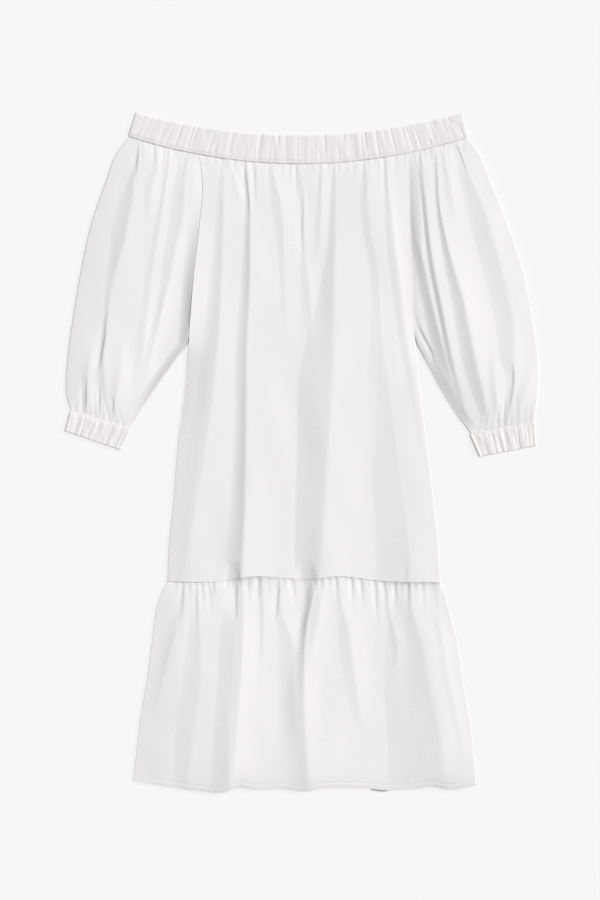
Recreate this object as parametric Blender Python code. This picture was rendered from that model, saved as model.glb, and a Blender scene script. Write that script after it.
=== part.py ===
"""Off-shoulder dress in crisp white cotton, laid flat with its front up.

The frame: X runs to the right and Y up the dress as its front is seen, and Z up from the
surface that it lies on. The origin is under the middle of the outline, on that surface.
Left and right are as seen. Every table and size is in millimetres, and the meshes are
made in metres. Each front layer lies on its back layer, and a gap parts them at the seams.
"""
from collections import namedtuple

import bpy
import numpy as np
from mathutils import Matrix

MM = 0.001

# Cloth, elastic casings and seams
WALL = 1.2             # thickness of the cloth walls
BAND_WALL = 2.2        # an elastic between two layers of cloth
SEAM_GAP = 0.35        # in plan, between two pieces that are sewn together
LAYER_GAP = 0.35       # in height, between a front layer and the back that it lies on
BAND_HOLLOW = 1.0      # in height, between the two sides of a casing

# Heights of the middle of each wall
BACK_LEVEL = WALL / 2
FRONT_LEVEL = WALL + LAYER_GAP + WALL / 2
BAND_BACK_LEVEL = BAND_WALL / 2
BAND_FRONT_LEVEL = BAND_WALL + BAND_HOLLOW + BAND_WALL / 2
SLEEVE_TURN_LEVEL = 3.0    # where the outer fold of a sleeve turns under

# Neckband: two shallow arcs, each y = middle + rise * (distance from the middle / half width)^2
NECK_MIDDLE_X = -4
NECK_HALF_WIDTH = 223
NECK_SEAM_Y = 383
NECK_SEAM_RISE = 35
NECK_TOP_Y = 420
NECK_TOP_RISE = 32
NECK_SEAM_ENDS = (-229, 217)
NECK_TOP_ENDS = (-219, 209)
NECK_GATHERS = 45

SideRow = namedtuple("SideRow", "y left right")
BODY_SIDES = [
    SideRow(402, -138, 139),
    SideRow(356, -132, 140),
    SideRow(294, -137, 142),
    SideRow(231, -144, 144),
    SideRow(181, -148, 145),
    SideRow(145, -151, 149),
    SideRow(83, -157, 155),
    SideRow(4, -166, 165),
    SideRow(-62, -171, 173),
    SideRow(-121, -177, 179),
    SideRow(-172, -179, 182),
]
RUFFLE_SIDES = [
    SideRow(-166, -178, 182),
    SideRow(-194, -190, 190),
    SideRow(-247, -199, 204),
    SideRow(-300, -206, 212),
    SideRow(-352, -215, 221),
    SideRow(-405, -221, 227),
    SideRow(-438, -225, 229),
]

EdgeRow = namedtuple("EdgeRow", "x y")
WAIST_SEAM = [
    EdgeRow(-185, -169),
    EdgeRow(-112, -169),
    EdgeRow(-62, -162),
    EdgeRow(-20, -165),
    EdgeRow(8, -166),
    EdgeRow(45, -162),
    EdgeRow(100, -168),
    EdgeRow(185, -170),
]
BACK_WAIST_SEAM = [EdgeRow(-185, -169), EdgeRow(0, -167), EdgeRow(185, -169)]
FRONT_HEM = [
    EdgeRow(-225, -434),
    EdgeRow(-174, -442),
    EdgeRow(-142, -446),
    EdgeRow(-99, -447),
    EdgeRow(-90, -443),
    EdgeRow(-62, -445),
    EdgeRow(-30, -444),
    EdgeRow(5, -447),
    EdgeRow(20, -444),
    EdgeRow(89, -444),
    EdgeRow(118, -446),
    EdgeRow(148, -444),
    EdgeRow(171, -441),
    EdgeRow(189, -444),
    EdgeRow(208, -443),
    EdgeRow(229, -438),
]
BACK_HEM = [
    EdgeRow(-225, -432),
    EdgeRow(-120, -442),
    EdgeRow(70, -442),
    EdgeRow(84, -443),
    EdgeRow(96, -449),
    EdgeRow(110, -449),
    EdgeRow(122, -443),
    EdgeRow(229, -436),
]

# Sleeves: the outer line from the neckband to the cuff, and the underarm seam
SLEEVE_OUTER = {
    "left": [
        EdgeRow(-229, 419),
        EdgeRow(-244, 400),
        EdgeRow(-260, 360),
        EdgeRow(-280, 301),
        EdgeRow(-293, 242),
        EdgeRow(-303, 182),
        EdgeRow(-311, 123),
        EdgeRow(-313, 94),
        EdgeRow(-311, 70),
        EdgeRow(-306, 55),
    ],
    "right": [
        EdgeRow(217, 416),
        EdgeRow(230, 400),
        EdgeRow(248, 360),
        EdgeRow(271, 301),
        EdgeRow(291, 242),
        EdgeRow(303, 182),
        EdgeRow(311, 123),
        EdgeRow(312, 99),
        EdgeRow(311, 81),
        EdgeRow(308, 59),
        EdgeRow(305, 40),
    ],
}
UNDERARM_SEAM = {
    "left": [EdgeRow(-151, 145), EdgeRow(-167, 123), EdgeRow(-196, 82), EdgeRow(-219, 46), EdgeRow(-229, 32)],
    "right": [EdgeRow(149, 145), EdgeRow(161, 123), EdgeRow(182, 83), EdgeRow(209, 42), EdgeRow(222, 25)],
}

# Cuffs: the corners in plan
CuffRow = namedtuple("CuffRow", "side inner_top outer_top inner_bottom outer_bottom")
CUFFS = [
    CuffRow("left", (-229, 32), (-306, 55), (-243, 4), (-313, 28)),
    CuffRow("right", (222, 25), (305, 40), (235, -5), (307, 9)),
]
CUFF_GATHERS = 13

# Folds: a row for each, in order across the panel. "place" is the fraction across the panel and
# "depth" the fold's depth, at the panel's five stations. Across it a fold is a bell whose reach
# differs before and after its bottom: a short reach makes the sharp edge of a lapped fold.
Fold = namedtuple("Fold", "place depth before after")
# "rise" is how high the cloth stands between folds at the stations, and the first and last
# "roll" are how far from its two sides it takes to rise.
Panel = namedtuple("Panel", "stations rise roll folds")

BODY_FRONT = Panel(
    stations=(0, 0.15, 0.4, 0.7, 1),
    rise=(6.5, 8.5, 9, 9, 8.5),
    roll=(9, 9),
    folds=[
        Fold((0.098, 0.088, 0.079, 0.075, 0.062), (3, 3.5, 4.5, 4.5, 4), 11, 10),
        Fold((0.155, 0.163, 0.180, 0.175, 0.157), (2, 0.5, 0, 0, 0), 4, 4),
        Fold((0.215, 0.239, 0.261, 0.272, 0.277), (3.5, 5.5, 6.5, 7, 7.5), 13, 3),
        Fold((0.262, 0.282, 0.322, 0.330, 0.335), (1.5, 0.8, 0, 0, 0), 4, 4),
        Fold((0.330, 0.352, 0.387, 0.398, 0.398), (1.5, 1.2, 0.5, 0, 0), 6, 6),
        Fold((0.460, 0.472, 0.490, 0.476, 0.468), (2, 1, 0, 4, 5.5), 4, 12),
        Fold((0.570, 0.562, 0.559, 0.525, 0.512), (2.5, 2, 0.5, 1, 2), 7, 7),
        Fold((0.643, 0.637, 0.635, 0.596, 0.563), (4, 4.5, 5, 6, 6.5), 12, 3.5),
        Fold((0.783, 0.797, 0.812, 0.815, 0.822), (2.5, 2, 1.5, 2.5, 3), 9, 12),
        Fold((0.884, 0.900, 0.925, 0.935, 0.940), (2.5, 2.5, 2.5, 2, 1.5), 5, 7),
    ],
)
RUFFLE_FRONT = Panel(
    stations=(0, 0.12, 0.35, 0.65, 1),
    rise=(8.5, 9.5, 10, 10.5, 11),
    roll=(8, 8),
    folds=[
        Fold((0.027, 0.032, 0.028, 0.022, 0.020), (2, 1.5, 1, 0, 0), 3, 3),
        Fold((0.078, 0.096, 0.069, 0.050, 0.045), (4, 3.5, 3.5, 2, 0), 8, 4),
        Fold((0.126, 0.140, 0.115, 0.112, 0.127), (2, 1, 2, 3, 3), 9, 8),
        Fold((0.180, 0.193, 0.196, 0.202, 0.203), (2.5, 1.5, 0.5, 1, 1), 5, 5),
        Fold((0.273, 0.274, 0.267, 0.277, 0.284), (5, 6, 7, 8, 8.5), 16, 3),
        Fold((0.334, 0.343, 0.341, 0.344, 0.348), (2, 1, 0, 0, 0), 4, 4),
        Fold((0.398, 0.409, 0.403, 0.393, 0.395), (3, 2.5, 1.5, 0.5, 0), 5, 4),
        Fold((0.499, 0.504, 0.498, 0.503, 0.511), (9, 9, 8.5, 8.5, 8.5), 12, 4),
        Fold((0.613, 0.619, 0.623, 0.655, 0.670), (2, 2.5, 2.5, 1.5, 0), 8, 6),
        Fold((0.690, 0.695, 0.700, 0.705, 0.708), (2, 1.5, 0, 0, 0), 4, 4),
        Fold((0.755, 0.752, 0.750, 0.748, 0.745), (2, 3.5, 5, 6, 6), 3, 12),
        Fold((0.812, 0.808, 0.800, 0.805, 0.810), (2, 2, 2, 0, 0), 4, 4),
        Fold((0.878, 0.872, 0.878, 0.895, 0.905), (4.5, 5, 5, 5, 4.5), 14, 4),
        Fold((0.955, 0.950, 0.950, 0.952, 0.955), (2, 1.5, 0, 0, 0), 4, 4),
    ],
)
# The sleeves are taken from their inner side, at the body, to their outer fold
SLEEVES = {
    "left": Panel(
        stations=(0, 0.15, 0.4, 0.75, 1),
        rise=(6, 12, 15, 13, 6),
        roll=(6, 16),
        folds=[
            Fold((0.040, 0.101, 0.095, 0.070, 0.060), (2, 7, 11, 7, 2), 26, 4),
            Fold((0.190, 0.247, 0.244, 0.235, 0.170), (3, 4, 4.5, 3, 2), 9, 8),
            Fold((0.420, 0.408, 0.386, 0.345, 0.298), (2, 3, 2.5, 2, 2.5), 5, 4),
            Fold((0.585, 0.570, 0.530, 0.500, 0.425), (3, 1.5, 0, 0, 2), 5, 5),
            Fold((0.860, 0.776, 0.707, 0.690, 0.562), (6, 4.5, 4.5, 7, 4), 4, 10),
            Fold((0.940, 0.900, 0.850, 0.829, 0.776), (1, 0, 0, 2, 4), 4, 4),
        ],
    ),
    "right": Panel(
        stations=(0, 0.15, 0.4, 0.75, 1),
        rise=(6, 12, 15, 13, 6),
        roll=(6, 16),
        folds=[
            Fold((0.040, 0.050, 0.090, 0.130, 0.075), (3, 8, 10, 8, 3), 20, 4),
            Fold((0.194, 0.177, 0.189, 0.211, 0.162), (4, 5, 6, 5, 2), 6, 3.5),
            Fold((0.473, 0.347, 0.347, 0.364, 0.254), (5, 5, 5, 5, 3), 11, 4),
            Fold((0.646, 0.538, 0.531, 0.540, 0.440), (2, 0, 0, 1, 3), 4, 4),
            Fold((0.801, 0.742, 0.774, 0.742, 0.551), (5, 5, 6, 6.5, 5), 11, 10),
            Fold((0.907, 0.883, 0.892, 0.876, 0.739), (1, 0, 0, 0, 3), 4, 4),
        ],
    ),
}

# Where the rows of points lie down each piece, as fractions of its length. The body and the
# sleeves share the rows along their raglan seams, so that their sides stay parallel.
UNDERARM_DOWN = 0.445
RAGLAN_ROWS = np.array((0, 0.012, 0.03, 0.06, 0.1, 0.16, 0.23, 0.3, 0.375, UNDERARM_DOWN))
BODY_ROWS = np.concatenate([RAGLAN_ROWS, np.linspace(0.51, 0.95, 7), (0.985, 1)])
UNDERARM_ROWS = np.array((0.12, 0.32, 0.56, 0.76, 0.9, 1))
RUFFLE_ROWS = np.array((0, 0.02, 0.05, 0.12, 0.2, 0.3, 0.42, 0.55, 0.68, 0.82, 1))
BACK_COLUMNS = 9
SEAM_SINK = 6          # how far from a gathered seam the cloth takes to rise clear of it
COLUMN_SPACING = 9     # at most, on average, between columns of points away from the folds

WHITE_COTTON = (0.86, 0.85, 0.84)
SHADED_COTTON = (0.80, 0.79, 0.78)


def main():
    clear_scene()
    cotton = cotton_material("white_cotton", WHITE_COTTON)
    casing = cotton_material("gathered_cotton", SHADED_COTTON)
    make_neckband(casing)
    for row in CUFFS:
        make_cuff(row, casing)
    make_front(BODY_FRONT, body_point, BODY_ROWS, "body_front", cotton, BAND_FRONT_LEVEL)
    make_front(RUFFLE_FRONT, ruffle_front_point, RUFFLE_ROWS, "ruffle_front", cotton, None)
    make_back(body_back_point, BODY_ROWS, "body_back", cotton)
    make_back(ruffle_back_point, np.linspace(0, 1, 6), "ruffle_back", cotton)
    for side in SLEEVES:
        make_sleeve(side, cotton)
    centre_outline()


def centre_outline():
    """Move every piece alike, so that the middle of the outline is over the origin."""
    meshes = [piece.data for piece in bpy.data.objects]
    corners = np.array([vertex.co[:2] for mesh in meshes for vertex in mesh.vertices])
    middle = (corners.min(axis=0) + corners.max(axis=0)) / 2
    for mesh in meshes:
        mesh.transform(Matrix.Translation((-middle[0], -middle[1], 0)))


def clear_scene():
    for old in list(bpy.data.objects):
        bpy.data.objects.remove(old, do_unlink=True)


def cotton_material(name, color):
    material = bpy.data.materials.new(name)
    material.use_nodes = True
    shader = material.node_tree.nodes["Principled BSDF"]
    shader.inputs["Base Color"].default_value = (*color, 1)
    shader.inputs["Roughness"].default_value = 0.85
    shader.inputs["Metallic"].default_value = 0
    return material


def smooth_curve(knots, values):
    """Cubic through the rows, its slope at each the mean of the chords beside it."""
    order = np.argsort(knots)
    at = np.asarray(knots, float)[order]
    value = np.asarray(values, float)[order]
    step = np.diff(at)
    chord = np.diff(value) / step
    slope = np.empty_like(value)
    slope[0] = chord[0]
    slope[-1] = chord[-1]
    slope[1:-1] = (chord[:-1] * step[1:] + chord[1:] * step[:-1]) / (step[1:] + step[:-1])

    def evaluate(where):
        where = np.clip(where, at[0], at[-1])
        k = np.clip(np.searchsorted(at, where, side="right") - 1, 0, len(step) - 1)
        t = (where - at[k]) / step[k]
        return (value[k] * (1 + 2 * t) * (1 - t) ** 2 + slope[k] * step[k] * t * (1 - t) ** 2
                + value[k + 1] * t * t * (3 - 2 * t) - slope[k + 1] * step[k] * t * t * (1 - t))
    return evaluate


def line_down(rows, column):
    """x as a function of y, from one column of a table of sides or of an edge."""
    return smooth_curve([row.y for row in rows], [getattr(row, column) for row in rows])


def line_across(rows):
    """y as a function of x."""
    return smooth_curve([row.x for row in rows], [row.y for row in rows])


def neck_seam(x):
    return NECK_SEAM_Y + NECK_SEAM_RISE * ((x - NECK_MIDDLE_X) / NECK_HALF_WIDTH) ** 2


def neck_top(x):
    return NECK_TOP_Y + NECK_TOP_RISE * ((x - NECK_MIDDLE_X) / NECK_HALF_WIDTH) ** 2


def between_lines(sides, top, bottom, top_gap, bottom_gap):
    """A panel's plan: x lies between its two sides and y between its top and bottom lines.

    Each depends on the other, so a few rounds settle them.
    """
    left = line_down(sides, "left")
    right = line_down(sides, "right")

    def point(across, down):
        y = np.zeros_like(across) + (sides[0].y + sides[-1].y) / 2
        for _ in range(12):
            x = left(y) + across * (right(y) - left(y))
            y = (top(x) - top_gap) * (1 - down) + (bottom(x) + bottom_gap) * down
        return x, y
    return point


half_gap = SEAM_GAP / 2
body_point = between_lines(BODY_SIDES, neck_seam, line_across(WAIST_SEAM), half_gap, half_gap)
ruffle_front_point = between_lines(RUFFLE_SIDES, line_across(WAIST_SEAM), line_across(FRONT_HEM), half_gap, 0)
body_back_point = between_lines(BODY_SIDES, neck_seam, line_across(BACK_WAIST_SEAM), half_gap, half_gap)
ruffle_back_point = between_lines(RUFFLE_SIDES, line_across(BACK_WAIST_SEAM), line_across(BACK_HEM), half_gap, 0)


def sleeve_plan(side):
    """A sleeve's plan: straight sections from its inner side to its outer fold.

    The inner side follows the body's side down the raglan rows, and then the underarm seam.
    The top section bends with the neckband's seam, and the bend fades towards the cuff.
    """
    outward = -1 if side == "left" else 1
    body_edge = np.zeros_like(RAGLAN_ROWS) if side == "left" else np.ones_like(RAGLAN_ROWS)
    raglan_x, raglan_y = body_back_point(body_edge, RAGLAN_ROWS)
    underarm = line_down(UNDERARM_SEAM[side], "x")
    outer = line_down(SLEEVE_OUTER[side], "x")
    cuff_y = UNDERARM_SEAM[side][-1].y
    underarm_y = raglan_y[-1] + (cuff_y - raglan_y[-1]) * UNDERARM_ROWS
    inner_y = np.concatenate([raglan_y, underarm_y])
    inner_x = np.concatenate([raglan_x, underarm(underarm_y)]) + outward * SEAM_GAP
    down = (inner_y[0] - inner_y) / (inner_y[0] - cuff_y)
    outer_y = SLEEVE_OUTER[side][0].y + (SLEEVE_OUTER[side][-1].y - SLEEVE_OUTER[side][0].y) * down
    outer_x = outer(outer_y)

    def point(across):
        """Plan of a grid with one row of fractions across for each row down the sleeve."""
        x = inner_x[:, None] + (outer_x - inner_x)[:, None] * across
        y = inner_y[:, None] + (outer_y - inner_y)[:, None] * across
        top_x = inner_x[0] + (outer_x[0] - inner_x[0]) * across
        top_chord = inner_y[0] + (outer_y[0] - inner_y[0]) * across
        bend = neck_seam(top_x) - half_gap - top_chord
        return x, y + bend * (1 - down)[:, None] + half_gap * down[:, None]
    return point, down, np.hypot(outer_x - inner_x, outer_y - inner_y)


def columns_along(panel, down, width, edge_steps):
    """Fractions across the panel for its columns of points, each row's own.

    Every fold has a column at its bottom and one at the end of each reach, so the sharp
    edges run along the columns. The stretch between two folds is evenly divided.
    """
    paths = [smooth_curve(panel.stations, fold.place)(down) for fold in panel.folds]
    bounds = [np.zeros_like(down)] + paths + [np.ones_like(down)]
    reach_after = [edge_steps[0]] + [fold.after for fold in panel.folds]
    reach_before = [fold.before for fold in panel.folds] + [edge_steps[1]]
    columns = []
    for start, end, after, before in zip(bounds[:-1], bounds[1:], reach_after, reach_before):
        gap = end - start
        first = np.minimum(after / width, 0.3 * gap)
        last = np.minimum(before / width, 0.3 * gap)
        stretch = gap - first - last
        steps = 1 + int(np.ceil(np.mean(stretch * width) / COLUMN_SPACING))
        columns.append(start)
        for step in np.linspace(0, 1, steps):
            columns.append(start + first + stretch * step)
    columns.append(bounds[-1])
    return np.stack(columns, axis=1)


def relief(panel, across, down, width):
    """Height of the cloth above its lowest level: its rise less the bell of every fold."""
    height = smooth_curve(panel.stations, panel.rise)(down)
    for fold in panel.folds:
        distance = (across - smooth_curve(panel.stations, fold.place)(down)) * width
        reach = np.where(distance < 0, fold.before, fold.after)
        height = height - smooth_curve(panel.stations, fold.depth)(down) * np.exp(-(distance / reach) ** 2)
    return (height + np.sqrt(height ** 2 + 1)) / 2


def rounded(distance, roll):
    """0 at an edge and 1 past the roll, along a quarter of an ellipse."""
    inward = np.clip(distance / roll, 0, 1)
    return np.sqrt(1 - (1 - inward) ** 2)


def make_front(panel, point, rows, name, material, seam_level):
    """A front panel on its back, rolled up from both sides, with its folds in relief.

    With a seam level, the top edge starts at that height, as it is gathered into a casing.
    """
    down = rows[:, None]
    left_x, _ = point(np.zeros_like(down), down)
    right_x, _ = point(np.ones_like(down), down)
    width = right_x - left_x
    across = columns_along(panel, rows, width[:, 0], (2, 2))
    down = down + np.zeros_like(across)
    x, y = point(across, down)
    edge = (rounded(across * width, panel.roll[0]) * rounded((1 - across) * width, panel.roll[1]))
    height = FRONT_LEVEL + edge * relief(panel, across, down, width)
    if seam_level is not None:
        near_seam = np.exp(-(y[:1] - y) / SEAM_SINK)
        height = height + near_seam * (seam_level - height) * edge
    add_wall(name, np.stack([x, y, height], axis=-1), material)


def make_back(point, rows, name, material):
    """A back panel, flat on the surface, with the same plan as its front."""
    across = np.linspace(0, 1, BACK_COLUMNS)[None, :] + np.zeros((len(rows), 1))
    x, y = point(across, rows[:, None] + np.zeros_like(across))
    height = np.full_like(x, BACK_LEVEL)
    add_wall(name, np.stack([x, y, height], axis=-1), material)


def make_sleeve(side, material):
    """A raglan sleeve: its upper layer in relief, the turn at its outer fold, and its flat lower layer.

    The upper and lower layers part along the raglan and the underarm seam.
    """
    panel = SLEEVES[side]
    point, down, length = sleeve_plan(side)
    width = length[:, None]
    upper = columns_along(panel, down, length, (2, 4))
    height = relief(panel, upper, down[:, None], width)
    x, y = point(upper)
    for end in (0, -1):
        near_seam = np.exp(-np.hypot(x - x[end], y - y[end]) / SEAM_SINK)
        height = height + near_seam * (BAND_FRONT_LEVEL - FRONT_LEVEL - height)
    upper_height = FRONT_LEVEL + rounded(upper * width, panel.roll[0]) * height
    turn = rounded((1 - upper) * width, panel.roll[1])
    upper_height = SLEEVE_TURN_LEVEL + (upper_height - SLEEVE_TURN_LEVEL) * turn

    turn_steps = np.array((0.35, 1.4, 4, 12)) / width
    lower = np.concatenate([1 - turn_steps, 1 - np.linspace(0.3, 1, 4)[None, :] + np.zeros_like(width)], axis=1)
    fall = rounded((1 - lower) * width, 1.6)
    lower_height = SLEEVE_TURN_LEVEL + (BACK_LEVEL - SLEEVE_TURN_LEVEL) * fall
    across = np.concatenate([upper, lower], axis=1)
    height = np.concatenate([upper_height, lower_height], axis=1)
    x, y = point(across)
    add_wall("sleeve_" + side, np.stack([x, y, height], axis=-1), material)


def gather_marks(count):
    """Fractions along a casing where its gathers pinch, unevenly spaced."""
    place = np.arange(count)
    return (place + 0.5 + 0.24 * np.sin(2.4 * place) + 0.14 * np.sin(5.3 * place + 1)) / count


def casing_columns(count, back_columns):
    """Columns round a casing: fraction along it, angle of the turn, and lift of the gathers.

    The angle is 90 on the front and -90 on the back. Each gather has a pinched column and two
    full ones, and two gathers in three are fuller than the next.
    """
    marks = np.concatenate([[0], gather_marks(count), [1]])
    along = []
    lift = []
    for k in range(len(marks) - 1):
        gap = marks[k + 1] - marks[k]
        full = 1.0 + 0.35 * np.sin(1.7 * k)
        for step, height in ((0, 0.15), (0.33, full), (0.7, full * 0.9)):
            along.append(marks[k] + gap * step)
            lift.append(height)
    along.append(1)
    lift.append(0.15)
    angle = [90] * len(along)
    for turn in (60, 30, 0, -30, -60):
        along.append(1)
        angle.append(turn)
        lift.append(0)
    for step in np.linspace(1, 0, back_columns):
        along.append(step)
        angle.append(-90)
        lift.append(0)
    for turn in (-120, -150, 180, 150, 120):
        along.append(0)
        angle.append(turn)
        lift.append(0)
    return np.array(along), np.radians(angle), np.array(lift)


def make_casing(name, top_line, bottom_line, count, back_columns, material):
    """An elastic casing laid flat: a closed ring with gathers raised on its front.

    "top_line" and "bottom_line" give x and y for a fraction along the casing. The section
    across it has rounded edges outside and a plain inside.
    """
    along, angle, lift = casing_columns(count, back_columns)
    middle = (BAND_BACK_LEVEL + BAND_FRONT_LEVEL) / 2
    turn_radius = (BAND_FRONT_LEVEL - BAND_BACK_LEVEL) / 2
    top = np.stack(top_line(along), axis=1)
    bottom = np.stack(bottom_line(along), axis=1)
    start = (np.stack(top_line(np.array([0.0])), axis=1) + np.stack(bottom_line(np.array([0.0])), axis=1)) / 2
    end = (np.stack(top_line(np.array([1.0])), axis=1) + np.stack(bottom_line(np.array([1.0])), axis=1)) / 2
    outward = (end - start) / np.linalg.norm(end - start)
    in_front = np.clip(np.sin(angle), 0, 1)

    def ring(across, radius, lift_share):
        plan = top + (bottom - top) * across
        turn = np.where(np.isclose(np.abs(np.sin(angle)), 1), 0, np.cos(angle)) * radius
        height = middle + np.sin(angle) * radius + lift * lift_share * in_front
        return np.column_stack([plan + outward * turn[:, None], height])

    outer_radius = turn_radius + BAND_WALL / 2
    inner_radius = turn_radius - BAND_WALL / 2
    outer = np.stack([
        ring(0, outer_radius - 0.6, 0.4),
        ring(0.07, outer_radius, 1),
        ring(0.93, outer_radius, 1),
        ring(1, outer_radius - 0.6, 0.4),
    ])
    inner = np.stack([ring(share, inner_radius, 0) for share in (0, 0.07, 0.93, 1)])
    flat = angle == np.radians(-90)
    outer[:, flat, 2] = 0
    add_shell(name, outer, inner, material, closed=True)


def make_neckband(material):
    def top_line(along):
        x = NECK_TOP_ENDS[0] + (NECK_TOP_ENDS[1] - NECK_TOP_ENDS[0]) * along
        return x, neck_top(x)

    def bottom_line(along):
        x = NECK_SEAM_ENDS[0] + (NECK_SEAM_ENDS[1] - NECK_SEAM_ENDS[0]) * along
        return x, neck_seam(x) + half_gap

    make_casing("neckband", top_line, bottom_line, NECK_GATHERS, 16, material)


def make_cuff(row, material):
    """A cuff between four corners, taken from its left to its right so that its front faces up."""
    top = (row.outer_top, row.inner_top) if row.side == "left" else (row.inner_top, row.outer_top)
    bottom = (row.outer_bottom, row.inner_bottom) if row.side == "left" else (row.inner_bottom, row.outer_bottom)

    def straight(ends, drop):
        def line(along):
            (x0, y0), (x1, y1) = ends
            return x0 + (x1 - x0) * along, y0 + (y1 - y0) * along - drop
        return line

    make_casing("cuff_" + row.side, straight(top, half_gap), straight(bottom, 0), CUFF_GATHERS, 5, material)


def add_wall(name, middle, material):
    """A wall of cloth about a grid of points, half its thickness to each side.

    At its rims it is cut square to the plan, so that it keeps its gap to the next piece.
    """
    down = np.gradient(middle, axis=0)
    along = np.gradient(middle, axis=1)
    normal = np.cross(down, along)
    rims = ((np.s_[:, 0], down), (np.s_[:, -1], down), (np.s_[0, :], along), (np.s_[-1, :], along))
    for rim, tangent in rims:
        run_x, run_y = tangent[rim][:, 0], tangent[rim][:, 1]
        outward = np.column_stack([run_y, -run_x, np.zeros_like(run_x)])
        outward /= np.linalg.norm(outward, axis=1, keepdims=True)
        normal[rim] -= outward * np.sum(normal[rim] * outward, axis=1, keepdims=True)
    normal /= np.linalg.norm(normal, axis=2, keepdims=True)
    add_shell(name, middle + normal * WALL / 2, middle - normal * WALL / 2, material, closed=False)


def add_shell(name, outer, inner, material, closed):
    """One closed solid between two grids of points, in rows and columns.

    A closed grid's last column joins its first. The other rims are closed by strips.
    """
    rows, columns = outer.shape[:2]
    front = np.arange(rows * columns).reshape(rows, columns)
    back = front + rows * columns
    if closed:
        front = np.concatenate([front, front[:, :1]], axis=1)
        back = np.concatenate([back, back[:, :1]], axis=1)
    faces = [grid_faces(front), grid_faces(back[:, ::-1])]
    faces.append(grid_faces(np.stack([back[0], front[0]])))
    faces.append(grid_faces(np.stack([front[-1], back[-1]])))
    if not closed:
        faces.append(grid_faces(np.stack([back[:, 0], front[:, 0]], axis=1)))
        faces.append(grid_faces(np.stack([front[:, -1], back[:, -1]], axis=1)))
    points = np.concatenate([outer.reshape(-1, 3), inner.reshape(-1, 3)]) * MM
    mesh = bpy.data.meshes.new(name)
    mesh.from_pydata(points.tolist(), [], np.concatenate(faces).tolist())
    mesh.materials.append(material)
    mesh.shade_smooth()
    mesh.set_sharp_from_angle(angle=np.radians(50))
    piece = bpy.data.objects.new(name, mesh)
    bpy.context.scene.collection.objects.link(piece)


def grid_faces(index):
    """Two triangles for every cell of a grid of point numbers, facing up where rows run down."""
    a = index[:-1, :-1].ravel()
    b = index[1:, :-1].ravel()
    c = index[1:, 1:].ravel()
    d = index[:-1, 1:].ravel()
    return np.concatenate([np.column_stack([a, b, c]), np.column_stack([a, c, d])])


main()
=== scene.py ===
import bpy
import numpy as np
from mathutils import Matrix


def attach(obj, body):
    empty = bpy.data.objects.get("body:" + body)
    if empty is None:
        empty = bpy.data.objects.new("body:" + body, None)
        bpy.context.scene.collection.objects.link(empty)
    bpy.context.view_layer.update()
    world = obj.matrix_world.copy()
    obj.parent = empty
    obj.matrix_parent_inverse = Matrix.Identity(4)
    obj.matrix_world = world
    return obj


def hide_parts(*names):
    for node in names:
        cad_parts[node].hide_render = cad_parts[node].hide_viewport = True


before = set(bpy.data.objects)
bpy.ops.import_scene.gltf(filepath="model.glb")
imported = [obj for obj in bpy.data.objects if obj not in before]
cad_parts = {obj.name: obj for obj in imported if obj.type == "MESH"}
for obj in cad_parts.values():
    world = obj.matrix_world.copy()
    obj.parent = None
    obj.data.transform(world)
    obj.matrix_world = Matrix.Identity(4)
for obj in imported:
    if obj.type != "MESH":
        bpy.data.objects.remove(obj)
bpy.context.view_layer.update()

mm = 0.001
planShift = np.array((1.3336, -0.2917))  # moves the lay-out plan onto the part's own origin
dice = np.random.default_rng(7)

clothSizes = {
    "thickness": 0.5,  # of the cloth shells
    "wall": 1.2,  # of the frame's cloth walls
    "frontLevel": 2.15,  # middle of the front walls, where they lie on the backs
    "backLevel": 0.6,  # middle of the back walls
    "gap": 0.35,  # in plan, between two pieces that are sewn together
    "seamHold": 2.2,  # how far from a seam gathered cloth stays at the height it is held at
    "sidePower": 1.5,  # how soon a side's own height gives way to the folds
    "waves": 0.3,  # height of the soft unevenness in every front
    "sharpAngle": 60,  # degrees, past which an edge shows as sharp
}


# sRGB hex to linear: each channel is below 0.04045 divided by 12.92, else ((c + 0.055) / 1.055) to the power 2.4
def linearColour(hexColour):
    channels = [int(hexColour[i:i + 2], 16) / 255 for i in (1, 3, 5)]
    return [c / 12.92 if c <= 0.04045 else ((c + 0.055) / 1.055) ** 2.4 for c in channels] + [1]


# Adds one node, sets its inputs by name or number, and links (node, output) pairs into its inputs
def addNode(tree, kind, settings=None, links=None, **properties):
    node = tree.nodes.new(kind)
    for key, value in properties.items():
        setattr(node, key, value)
    for key, value in (settings or {}).items():
        node.inputs[key].default_value = value
    for key, (source, output) in (links or {}).items():
        tree.links.new(source.outputs[output], node.inputs[key])
    return node


weave = {
    "ribSpacing": 0.9,  # mm; real poplin ribs are about 0.3 apart, too fine to show, so these are coarser
    "ribWander": 1.2,
    "slubs": ((60, 420, 1), 3.0, 0.6),  # steps per metre of cloth, detail and roughness of the uneven yarn
    "warps": ((900, 140, 1), 2.0, 0.5),
    "tones": (0.12, 0.42),  # of the yarn's noise, where it has the slubs' colour and where the cloth's
    "bumpDistance": 0.0001,
}


# Noise stretched along the yarn: the place on the cloth times the steps of each direction, read by a noise
def yarnNoise(tree, cloth, steps, detail, roughness):
    stretched = addNode(tree, "ShaderNodeMapping", {"Scale": steps}, {"Vector": (cloth, 0)})
    return addNode(tree, "ShaderNodeTexNoise", {"Scale": 1.0, "Detail": detail, "Roughness": roughness},
                   {"Vector": (stretched, 0)})


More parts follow.
